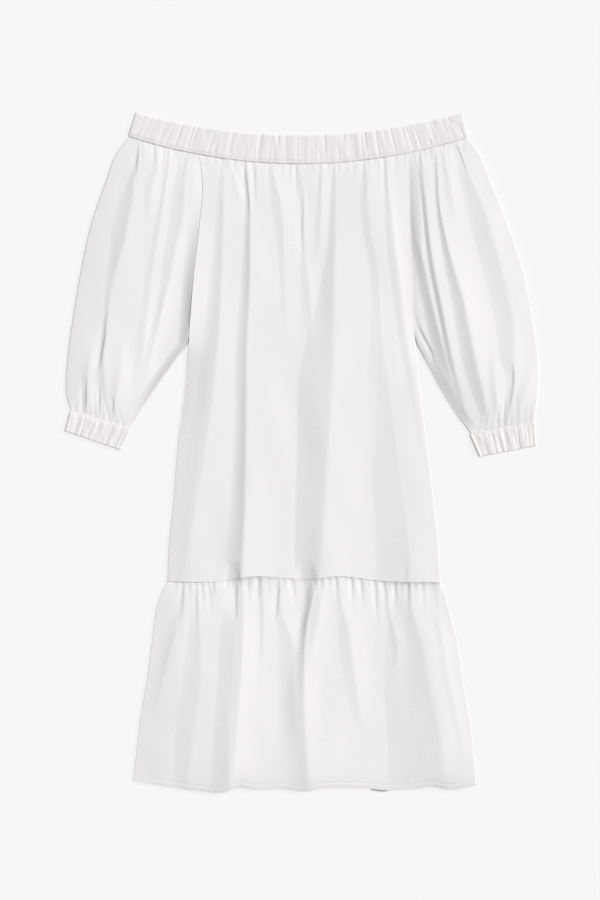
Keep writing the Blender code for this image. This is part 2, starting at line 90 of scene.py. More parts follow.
# Cotton poplin, woven plain and close from fine combed yarn: matt, a faint fuzz of light at grazing angles,
# fine ribs across the cloth where the warp crowds over a rounder weft, and a slightly uneven yarn. A wave's bands
# lie 2 pi / 20 / its scale apart, and the bump's height is the wave times the yarn's noise.
def poplinMaterial(name, colour, slubColour, ribDepth):
    material = bpy.data.materials.new(name)
    material.use_nodes = True
    tree = material.node_tree
    tree.nodes.clear()
    cloth = addNode(tree, "ShaderNodeUVMap", uv_map="cloth")
    ribScale = 2 * np.pi / 20 / (weave["ribSpacing"] * mm)
    ribs = addNode(tree, "ShaderNodeTexWave",
                   {"Scale": ribScale, "Distortion": weave["ribWander"], "Detail": 1.0, "Detail Scale": 0.4},
                   {"Vector": (cloth, 0)}, wave_type="BANDS", bands_direction="Y", wave_profile="SIN")
    slubs = yarnNoise(tree, cloth, *weave["slubs"])
    warps = yarnNoise(tree, cloth, *weave["warps"])
    yarn = addNode(tree, "ShaderNodeMath", None, {0: (slubs, 0), 1: (warps, 0)}, operation="MULTIPLY")
    low, high = weave["tones"]
    tone = addNode(tree, "ShaderNodeMapRange", {"From Min": low, "From Max": high, "To Min": 0.0, "To Max": 1.0},
                   {"Value": (yarn, 0)})
    paint = addNode(tree, "ShaderNodeMix", {6: linearColour(slubColour), 7: linearColour(colour)},
                    {0: (tone, 0)}, data_type="RGBA")
    height = addNode(tree, "ShaderNodeMath", None, {0: (yarn, 0), 1: (ribs, 1)}, operation="MULTIPLY")
    bump = addNode(tree, "ShaderNodeBump", {"Strength": ribDepth, "Distance": weave["bumpDistance"]},
                   {"Height": (height, 0)})
    shader = addNode(tree, "ShaderNodeBsdfPrincipled",
                     {"Roughness": 0.82, "IOR": 1.47, "Specular IOR Level": 0.25, "Sheen Weight": 0.08,
                      "Sheen Roughness": 0.4},
                     {"Base Color": (paint, 2), "Normal": (bump, 0)})
    addNode(tree, "ShaderNodeOutputMaterial", None, {"Surface": (shader, 0)})
    return material


poplin = poplinMaterial("cotton poplin woven", "#F0EDEC", "#EDEAE8", 0.2)
# the gathered casings get a darker copy of the same cloth: painted shade that stands in for the shade between their
# dense gathers
poplinGatheredShaded = poplinMaterial("cotton poplin woven gathered painted shade", "#EFECEA", "#EBE8E5", 0.3)
print("materials made")


# Smooth line through a table's rows: a cubic between two rows, whose slope at a row is the mean of the chords
# beside it
def smoothLine(knots, values):
    order = np.argsort(knots)
    at = np.asarray(knots, float)[order]
    value = np.asarray(values, float)[order]
    step = np.diff(at)
    chord = np.diff(value) / step
    between = (chord[:-1] * step[1:] + chord[1:] * step[:-1]) / (step[1:] + step[:-1])
    slope = np.concatenate([chord[:1], between, chord[-1:]])

    def line(where):
        where = np.clip(where, at[0], at[-1])
        k = np.clip(np.searchsorted(at, where, side="right") - 1, 0, len(step) - 1)
        t = (where - at[k]) / step[k]
        return (value[k] * (1 + 2 * t) * (1 - t) ** 2 + slope[k] * step[k] * t * (1 - t) ** 2
                + value[k + 1] * t * t * (3 - 2 * t) - slope[k + 1] * step[k] * t * t * (1 - t))
    return line


# The smooth lines through every column of a table but the first, read at y
def columnsAt(rows, y):
    at = [row[0] for row in rows]
    return [smoothLine(at, [row[i] for row in rows])(y) for i in range(1, len(rows[0]))]


# 0 at an edge and 1 past the roll, along a quarter of an ellipse
def rounded(distance, roll):
    return np.sqrt(1 - (1 - np.clip(distance / roll, 0, 1)) ** 2)


# Steps from 0 to 1 that crowd at both ends: t less a share of a sine of one full turn
def crowded(count, share):
    t = np.linspace(0, 1, count)
    return t - share * np.sin(2 * np.pi * t) / (2 * np.pi)


reliefShape = {
    "fallPower": 1.5,  # of a fold's slow right side
    "crestRound": 0.03,  # how softly a fold's two sides meet
    "groovePower": 4,  # of a groove's right side
    "gatherLeft": 2.2,  # how many times slower a short gather is on its left
}


# Height that folds add to laid cloth. A fold rises up a flank on its left to a crest and falls away slowly on its
# right: its height times the lesser of (1 + away / flank) to the power bend and (1 - away / fall) to the power of
# all falls, rounded where they meet. Each is (bend, fall, rows of y, the crest's x, the flank's length and height)
def foldRelief(x, y, folds):
    height = np.zeros_like(x)
    for bend, fall, rows in folds:
        crest, flank, rise = columnsAt(rows, y)
        up = np.clip(1 + (x - crest) / flank, 0, None) ** bend
        down = np.clip(1 - (x - crest) / fall, 0, 1) ** reliefShape["fallPower"]
        height += np.maximum(rise, 0) * (up + down - np.sqrt((up - down) ** 2 + reliefShape["crestRound"])) / 2
    return height


# Depth of narrow grooves, depth times exp(-(distance / reach) to a power), which is one for all on the right and
# as given on the left. Each is (power, rows of y, its middle's x, its reach to the left and right, and its depth)
def grooveRelief(x, y, grooves):
    depth = np.zeros_like(x)
    for power, rows in grooves:
        middle, before, after, deep = columnsAt(rows, y)
        away = x - middle
        onLeft = away < 0
        share = np.abs(away / np.where(onLeft, before, after)) ** np.where(onLeft, power, reliefShape["groovePower"])
        depth += np.maximum(deep, 0) * np.exp(-share)
    return depth


# Short gathers from a sewn edge: bells across x, slower on the left, that lean and fade with the distance "away"
# from the edge. Each is (x, depth, reach, length, lean)
def edgeGathers(x, away, rows):
    height = np.zeros_like(x)
    for place, depth, reach, length, lean in rows:
        offset = (x - place - lean * away) / reach
        offset = offset / np.where(offset < 0, reliefShape["gatherLeft"], 1)
        height -= depth * np.exp(-offset ** 2 - (away / length) ** 2)
    return height


# Soft unevenness of laid cotton: a sum of long waves that run mostly along the folds
def softWaves(x, y, amplitude, count=14, acrossSize=(35, 110), alongSize=(120, 400)):
    height = np.zeros_like(x)
    for i in range(count):
        kx = 2 * np.pi / dice.uniform(*acrossSize)
        ky = 2 * np.pi / dice.uniform(*alongSize) * dice.choice((-1, 1))
        height += np.sin(kx * x + ky * y + dice.uniform(0, 2 * np.pi)) * dice.uniform(0.4, 1)
    return height * amplitude / np.sqrt(count)


# One closed mesh between two grids of points, rows running down and columns to the right as seen from outside;
# a closed grid's last column joins its first, and the other rims get strips
def clothShell(name, outer, inner, cloth, material, closed=False):
    rows, columns = outer.shape[:2]
    front = np.arange(rows * columns).reshape(rows, columns)
    if closed:
        front = np.concatenate([front, front[:, :1]], axis=1)
    back = front + rows * columns
    strips = [(front, cloth), (back[:, ::-1], cloth[:, ::-1]),
              (np.stack([back[0], front[0]]), np.stack([cloth[0], cloth[0]])),
              (np.stack([front[-1], back[-1]]), np.stack([cloth[-1], cloth[-1]]))]
    if not closed:
        strips.append((np.stack([back[:, 0], front[:, 0]], axis=1), np.stack([cloth[:, 0], cloth[:, 0]], axis=1)))
        strips.append((np.stack([front[:, -1], back[:, -1]], axis=1), np.stack([cloth[:, -1], cloth[:, -1]], axis=1)))
    corners = (np.s_[:-1, :-1], np.s_[1:, :-1], np.s_[1:, 1:], np.s_[:-1, 1:])
    quads = []
    places = []
    for index, uv in strips:
        quads.append(np.stack([index[c].ravel() for c in corners], axis=1))
        places.append(np.stack([uv[c].reshape(-1, 2) for c in corners], axis=1))
    quads = np.concatenate(quads)
    places = np.concatenate(places)
    points = np.concatenate([outer.reshape(-1, 3), inner.reshape(-1, 3)])
    points[:, :2] += planShift
    mesh = bpy.data.meshes.new(name)
    mesh.vertices.add(len(points))
    mesh.vertices.foreach_set("co", (points * mm).ravel())
    mesh.loops.add(quads.size)
    mesh.loops.foreach_set("vertex_index", quads.ravel())
    mesh.polygons.add(len(quads))
    mesh.polygons.foreach_set("loop_start", np.arange(0, quads.size, 4))
    layer = mesh.uv_layers.new(name="cloth")
    layer.data.foreach_set("uv", (places * mm).ravel())
    mesh.update(calc_edges=True)
    mesh.validate()
    mesh.shade_smooth()
    mesh.set_sharp_from_angle(angle=np.radians(clothSizes["sharpAngle"]))
    mesh.materials.append(material)
    piece = bpy.data.objects.new(name, mesh)
    bpy.context.scene.collection.objects.link(piece)
    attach(piece, "root")
    print(name, "made,", 2 * len(quads), "triangles")
    return piece


# Unit normals of a grid of points, up where the rows run down and the columns to the right
def gridNormals(points):
    normal = np.cross(np.gradient(points, axis=0), np.gradient(points, axis=1))
    return normal / np.linalg.norm(normal, axis=2, keepdims=True)


bodyPlan = {
    # y, left and right side
    "sides": [(402, -138, 139), (356, -132, 140), (294, -137, 142), (231, -144, 144), (181, -148, 145),
        (145, -151, 149), (83, -157, 155), (4, -166, 165), (-62, -171, 173), (-121, -177, 179), (-172, -179, 182)],
    # x, y
    "waistSeam": [(-185, -169), (-112, -169), (-62, -162), (-20, -165), (8, -166), (45, -162), (100, -168),
        (185, -170)],
    "backWaistSeam": [(-185, -169), (0, -167), (185, -169)],
    # two shallow arcs, and where each starts at the left and how wide it is
    "neck": {"middleX": -4, "halfWidth": 223, "seamY": 383, "seamRise": 35, "seamSpan": (-229, 446),
             "topY": 420, "topRise": 32, "topSpan": (-219, 428)},
}
rufflePlan = {
    "sides": [(-166, -178, 182), (-194, -190, 190), (-247, -199, 204), (-300, -206, 212), (-352, -215, 221),
        (-405, -221, 227), (-438, -225, 229)],
    "frontHem": [(-225, -434), (-174, -442), (-142, -446), (-99, -447), (-90, -443), (-62, -445), (-30, -444),
        (5, -447), (20, -444), (89, -444), (118, -446), (148, -444), (171, -441), (189, -444), (208, -443),
        (229, -438)],
    "backHem": [(-225, -432), (-120, -442), (70, -442), (84, -443), (96, -448), (110, -448), (122, -443),
        (229, -436)],
}


# y of the neck's seam: its middle's y + rise * ((x - middleX) / halfWidth) squared
def neckSeam(x):
    neck = bodyPlan["neck"]
    return neck["seamY"] + neck["seamRise"] * ((x - neck["middleX"]) / neck["halfWidth"]) ** 2


# The same arc for the neckband's top
def neckTop(x):
    neck = bodyPlan["neck"]
    return neck["topY"] + neck["topRise"] * ((x - neck["middleX"]) / neck["halfWidth"]) ** 2


# The smooth line through rows of x, y
def lineAcross(rows):
    return smoothLine([row[0] for row in rows], [row[1] for row in rows])


# A panel's plan: x lies between its two sides and y between its top and bottom lines; a few rounds settle the two
def planBetween(sides, top, bottom, topGap, bottomGap, rounds=12):
    def point(across, down):
        y = np.zeros_like(across) + (sides[0][0] + sides[-1][0]) / 2
        for i in range(rounds):
            left, right = columnsAt(sides, y)
            x = left + across * (right - left)
            y = (top(x) - topGap) * (1 - down) + (bottom(x) + bottomGap) * down
        return x, y
    return point


halfGap = clothSizes["gap"] / 2
seamTuck = 1.0  # how far gathered cloth runs in under the edge of the piece that holds it
waistLap = 0.6  # how far the body comes down over the ruffle
underCasing = 4.5  # height of the cloth's top where it runs in under a casing
waistSeam = lineAcross(bodyPlan["waistSeam"])
backWaistSeam = lineAcross(bodyPlan["backWaistSeam"])
bodyPoint = planBetween(bodyPlan["sides"], neckSeam, waistSeam, -seamTuck, -waistLap)
bodyBackPoint = planBetween(bodyPlan["sides"], neckSeam, backWaistSeam, halfGap, halfGap)
rufflePoint = planBetween(rufflePlan["sides"], waistSeam, lineAcross(rufflePlan["frontHem"]), -seamTuck, 0)
ruffleBackPoint = planBetween(rufflePlan["sides"], backWaistSeam, lineAcross(rufflePlan["backHem"]), halfGap, 0)

bodyFront = {
    "rise": 4.2,  # of its cloth between folds
    "columns": 262,
    "rows": 150,
    "flat": (0.42, 0.575),  # m
    "sideReach": 30,  # how far in its side heights are felt
    # y and the height of the cloth's top where its left and right side are
    "sideLevels": [(402, 4.6, 4.3), (370, 6.6, 5.7), (320, 7.6, 5.8), (290, 8.6, 6.2), (240, 9.6, 6.6),
        (160, 9.3, 6.6), (142, 7.4, 6.8), (122, 4.2, 8.2), (0, 3.8, 10.4), (-172, 3.8, 11.4)],
    "rollFrom": 146,  # y below which its sides turn under
    "seamSink": 11,  # over what length it comes down to its top seam
    "topShare": 0.4,  # of its relief that it lacks at its gathered top
    "topFullness": 0.25,  # how far the cloth between the gathers swells there
    "bottomShare": 0,  # of its relief that it loses towards its bottom
    # each with its bend, its fall and rows of y, the crest's x, the flank's length and the height
    "folds": [
        (1.3, 46, [(385, -107, 4, 0.8), (334, -105, 8, 1.4), (281, -106, 12, 2.0), (202, -109, 17, 3.1),
            (96, -117, 22, 3.3), (0, -130, 24, 2.4), (-60, -139, 24, 1.6), (-115, -150, 20, 1.0),
            (-162, -158, 14, 0.6)]),
        (1.3, 8, [(389, -96, 5, 0.7), (354, -88, 7, 0.8), (327, -80, 7, 0)]),
        (1.8, 84, [(389, -77, 5, 1.3), (334, -71, 7, 2.2), (281, -70, 9, 3.0), (202, -71, 14, 3.9),
            (149, -74, 16, 4.2), (70, -75, 16, 4.3), (-36, -76, 19, 4.9), (-100, -78, 22, 5.5), (-162, -81, 26, 6.2)]),
        (1.3, 20, [(389, -45, 7, 0.9), (360, -37, 9, 1.3), (334, -30, 13, 1.6), (301, -26, 12, 1.3),
            (255, -25, 8, 0.8), (202, -23, 7, 0.5), (149, -21, 4, 0)]),
        (1.3, 8, [(389, -8, 4, 0.9), (350, -3, 4, 1.0), (301, 0, 4, 0.5), (275, -1, 4, 0)]),
        (1.3, 11, [(389, 25, 8, 1.0), (334, 25, 8, 1.0), (281, 22, 7, 0.7), (252, 18, 5, 0)]),
        (1.1, 104, [(389, 43, 5, 1.2), (334, 43, 7, 1.6), (288, 43, 9, 2.1), (255, 42, 12, 2.7), (228, 41, 17, 3.6),
            (176, 40, 27, 5.0), (143, 39, 36, 6.2), (96, 38, 44, 7.4), (44, 35, 42, 7.4), (-36, 30, 39, 7.4),
            (-115, 25, 36, 7.4), (-162, 21, 32, 7.0)]),
        (1.2, 60, [(389, 86, 9, 1.7), (334, 86, 11, 1.8), (294, 89, 11, 1.5), (255, 97, 11, 1.3),
            (202, 101, 11, 1.1), (149, 104, 16, 1.5), (96, 112, 26, 2.2), (20, 121, 34, 2.8), (-62, 132, 41, 3.2),
            (-115, 138, 44, 3.4), (-162, 142, 44, 3.4)]),
        (1.0, 60, [(200, 150, 40, 0), (120, 160, 60, 2.6), (0, 170, 75, 4.4), (-162, 178, 80, 4.8)]),
        (1.3, 20, [(262, 3, 5, 0.4), (228, 7, 11, 1.3), (202, 10, 14, 1.6), (160, 11, 16, 1.0), (120, 11, 16, 0)]),
        (1.2, 28, [(389, 109, 4, 1.0), (334, 115, 7, 1.5), (281, 121, 11, 2.3), (228, 128, 12, 2.6),
            (150, 138, 11, 2.5), (70, 152, 10, 1.8), (17, 160, 9, 1.0), (-42, 164, 7, 0)]),
    ],
    # each with its power on the left and rows of y, x, reach to the left and right, and depth
    "grooves": [
        (1.5, [(389, -78, 6, 1.8, 0.8), (334, -73, 6, 1.8, 1.0), (300, -71, 6, 1.8, 0)]),
        (1.5, [(389, -64, 5, 2, 0.4), (360, -63.5, 5, 2, 0.4), (312, -63, 5, 2, 0)]),
        (1.5, [(389, -8.5, 6, 1.8, 0.5), (334, -1.5, 6, 2, 0.8), (290, -2, 6, 2, 0.8), (250, -1, 6, 2, 0)]),
        (4, [(-140, 4, 9, 9, 0), (-158, 4, 11, 11, 1.8), (-172, 5, 13, 13, 3)]),
        (4, [(-140, -92, 8, 6, 0), (-160, -92, 10, 8, 1.6), (-172, -92, 12, 9, 2.4)]),
    ],
    # short gathers under the neckband: x, depth, reach, length, lean
    "neckGathers": [
        (-128, 0.6, 1.8, 22, -0.05), (-117, 0.4, 1.6, 14, 0.02), (-108, 0.7, 1.9, 30, 0.04),
        (-101, 0.5, 1.5, 18, 0), (-91, 0.5, 1.7, 22, -0.03), (-77, 0.7, 1.7, 34, 0.02), (-65, 0.8, 1.7, 40, 0.02),
        (-54, 0.4, 1.5, 12, 0), (-47, 0.6, 1.6, 20, 0.05), (-41, 0.5, 1.5, 26, 0), (-29, 0.3, 1.5, 10, -0.03),
        (-17, 0.5, 1.7, 18, 0), (-9, 0.7, 1.5, 40, 0), (4, 0.4, 1.5, 13, 0.03), (15, 0.4, 1.6, 16, 0),
        (22, 0.7, 1.7, 36, -0.02), (34, 0.4, 1.5, 12, 0), (41, 0.7, 1.6, 32, -0.02), (53, 0.4, 1.6, 16, 0.02),
        (66, 0.5, 1.7, 22, 0), (80, 0.7, 1.7, 34, 0), (92, 0.4, 1.5, 14, -0.02), (99, 0.6, 1.6, 24, 0),
        (107, 0.7, 1.7, 40, 0.05), (122, 0.6, 1.8, 26, 0.04), (133, 0.5, 1.7, 18, 0.05),
    ],
    "waistPuckers": [
        (-168, 0.3, 1.8, 8, 0), (-140, 0.3, 2, 10, 0.1), (-118, 0.2, 1.8, 7, 0), (-71, 0.3, 2, 9, 0.1),
        (-34, 0.3, 1.8, 8, -0.1), (25, 0.2, 1.8, 8, 0.1), (64, 0.3, 1.8, 9, 0), (94, 0.3, 2, 10, 0.1),
        (134, 0.5, 2.6, 30, 0.05), (158, 0.3, 1.8, 9, 0),
    ],
}
ruffleFront = {
    "rise": 4.0,
    "columns": 268,
    "rows": 134,
    "flat": (0.50, 0.285),
    "sideReach": 44,
    "sideLevels": [(-166, 4.6, 7.5), (-230, 4.0, 9.0), (-320, 3.7, 11.0), (-438, 3.6, 12.5)],
    "rollFrom": 0,
    "seamSink": 4.5,
    "topShare": 0.4,
    "topFullness": 0.9,
    "bottomShare": 0.55,
    "folds": [
        (1.0, 200, [(-190, -100, 60, 0), (-300, -100, 90, 3.0), (-441, -100, 110, 4.6)]),
        (1.3, 36, [(-172, -154, 4, 0.8), (-207, -159, 10, 2.0), (-247, -171, 15, 2.4), (-273, -178, 15, 2.4),
            (-313, -188, 14, 2.0), (-355, -199, 11, 0)]),
        (1.2, 90, [(-172, -144, 4, 0.8), (-207, -138, 10, 1.8), (-247, -135, 18, 2.4), (-326, -138, 26, 2.8),
            (-379, -146, 24, 2.5), (-441, -152, 20, 2.2)]),
        (1.2, 24, [(-169, -79, 8, 1.8), (-220, -78, 14, 2.4), (-273, -80, 16, 2.4), (-326, -84, 12, 1.8),
            (-379, -88, 9, 1.0), (-441, -93, 7, 0.5)]),
        (1.3, 100, [(-185, -90, 6, 0.4), (-215, -91, 16, 2.0), (-247, -92, 19, 2.8), (-300, -94, 20, 3.2),
            (-352, -96, 21, 4.0), (-405, -97, 24, 4.4), (-441, -97, 26, 4.8)]),
        (1.3, 20, [(-172, -54, 4, 0.9), (-220, -52, 5, 1.1), (-286, -54, 4, 0)]),
        (1.3, 36, [(-187, -31, 4, 0.9), (-220, -25, 10, 1.4), (-247, -14, 18, 2.0), (-300, -13, 18, 2.1),
            (-352, -9, 21, 1.4), (-392, -6, 18, 0)]),
        (2.3, 120, [(-169, 17, 18, 5.4), (-194, 12, 14, 5.8), (-220, 6, 11, 5.6), (-247, 3, 13, 5.0),
            (-300, 1, 24, 5.2), (-352, 2, 38, 5.8), (-405, 5, 50, 6.4), (-441, 8, 58, 6.8)]),
        (1.3, 11, [(-172, 25, 4, 0.8), (-201, 23, 9, 1.1), (-247, 14, 8, 0.7), (-286, 8, 5, 0)]),
        (1.3, 32, [(-181, 45, 8, 1.1), (-220, 57, 14, 1.9), (-273, 65, 16, 1.9), (-326, 73, 14, 1.4),
            (-372, 78, 8, 0)]),
        (1.0, 400, [(-172, 140, 13, 2.0), (-207, 144, 26, 3.0), (-247, 156, 45, 4.4), (-300, 165, 57, 5.6),
            (-352, 176, 66, 6.6), (-405, 184, 71, 7.2), (-441, 188, 75, 7.4)]),
        (1.5, 100, [(-172, 140, 8, 1.2), (-207, 144, 13, 1.7), (-247, 156, 21, 2.0), (-300, 165, 29, 2.1),
            (-352, 176, 34, 1.9), (-441, 188, 37, 1.4)]),
        (1.3, 14, [(-181, 107, 5, 0.7), (-220, 117, 8, 0.9), (-260, 125, 8, 0.9), (-302, 117, 4, 0)]),
        (1.3, 24, [(-172, 168, 5, 0.9), (-200, 173, 7, 1.1), (-247, 185, 9, 1.4), (-300, 194, 11, 1.5),
            (-352, 205, 9, 1.2), (-405, 215, 7, 0.5)]),
    ],
    "grooves": [
        (1.5, [(-168, 3, 16, 8, 2.0), (-185, 1, 15, 7, 1.0), (-205, -1, 14, 6, 0)]),
        (1.5, [(-168, -91, 13, 4, 2.0), (-190, -90, 12, 3, 1.7), (-212, -89, 8, 2, 0.8), (-225, -89, 8, 2, 0)]),
        (1.5, [(-170, -32, 8, 2, 1.2), (-202, -35, 8, 2, 1.2), (-225, -37, 8, 2, 0)]),
    ],
    "waistGathers": [
        (-170, 1.5, 2.2, 16, 0.1), (-159, 1.6, 2.2, 45, -0.05), (-151, 1.5, 1.9, 16, 0), (-141, 1.4, 2.0, 44, 0),
        (-134, 1.4, 1.9, 26, 0.08), (-125, 1.4, 2.0, 28, 0.1), (-118, 1.0, 1.8, 18, 0), (-107, 0.6, 1.6, 10, 0),
        (-100, 0.8, 1.6, 12, 0), (-82, 0.6, 1.6, 12, 0), (-72, 1.4, 1.9, 22, 0), (-58, 1.5, 2.0, 26, -0.05),
        (-47, 0.6, 1.7, 12, 0), (-26, 0.8, 1.6, 12, 0), (-14, 1.5, 1.9, 22, 0.1), (16, 0.9, 1.7, 14, 0.05),
        (25, 1.0, 1.7, 20, 0), (35, 0.8, 1.6, 12, 0), (43, 1.7, 1.9, 30, 0.1), (55, 0.8, 1.6, 12, 0),
        (64, 1.5, 1.9, 26, 0.05), (77, 1.5, 1.9, 24, 0.05), (87, 0.8, 1.6, 12, 0), (95, 1.6, 1.9, 42, 0.05),
        (107, 1.8, 1.9, 32, 0.1), (121, 1.5, 1.8, 26, 0.05), (130, 0.8, 1.6, 14, 0), (139, 2.0, 2.0, 26, 0),
        (149, 0.9, 1.7, 16, 0), (158, 1.5, 1.9, 24, 0.05), (167, 1.5, 1.9, 22, 0.1), (172, 1.8, 2.2, 44, 0.1),
    ],
    "hem": 7,  # from the hem's stitches to its edge
}
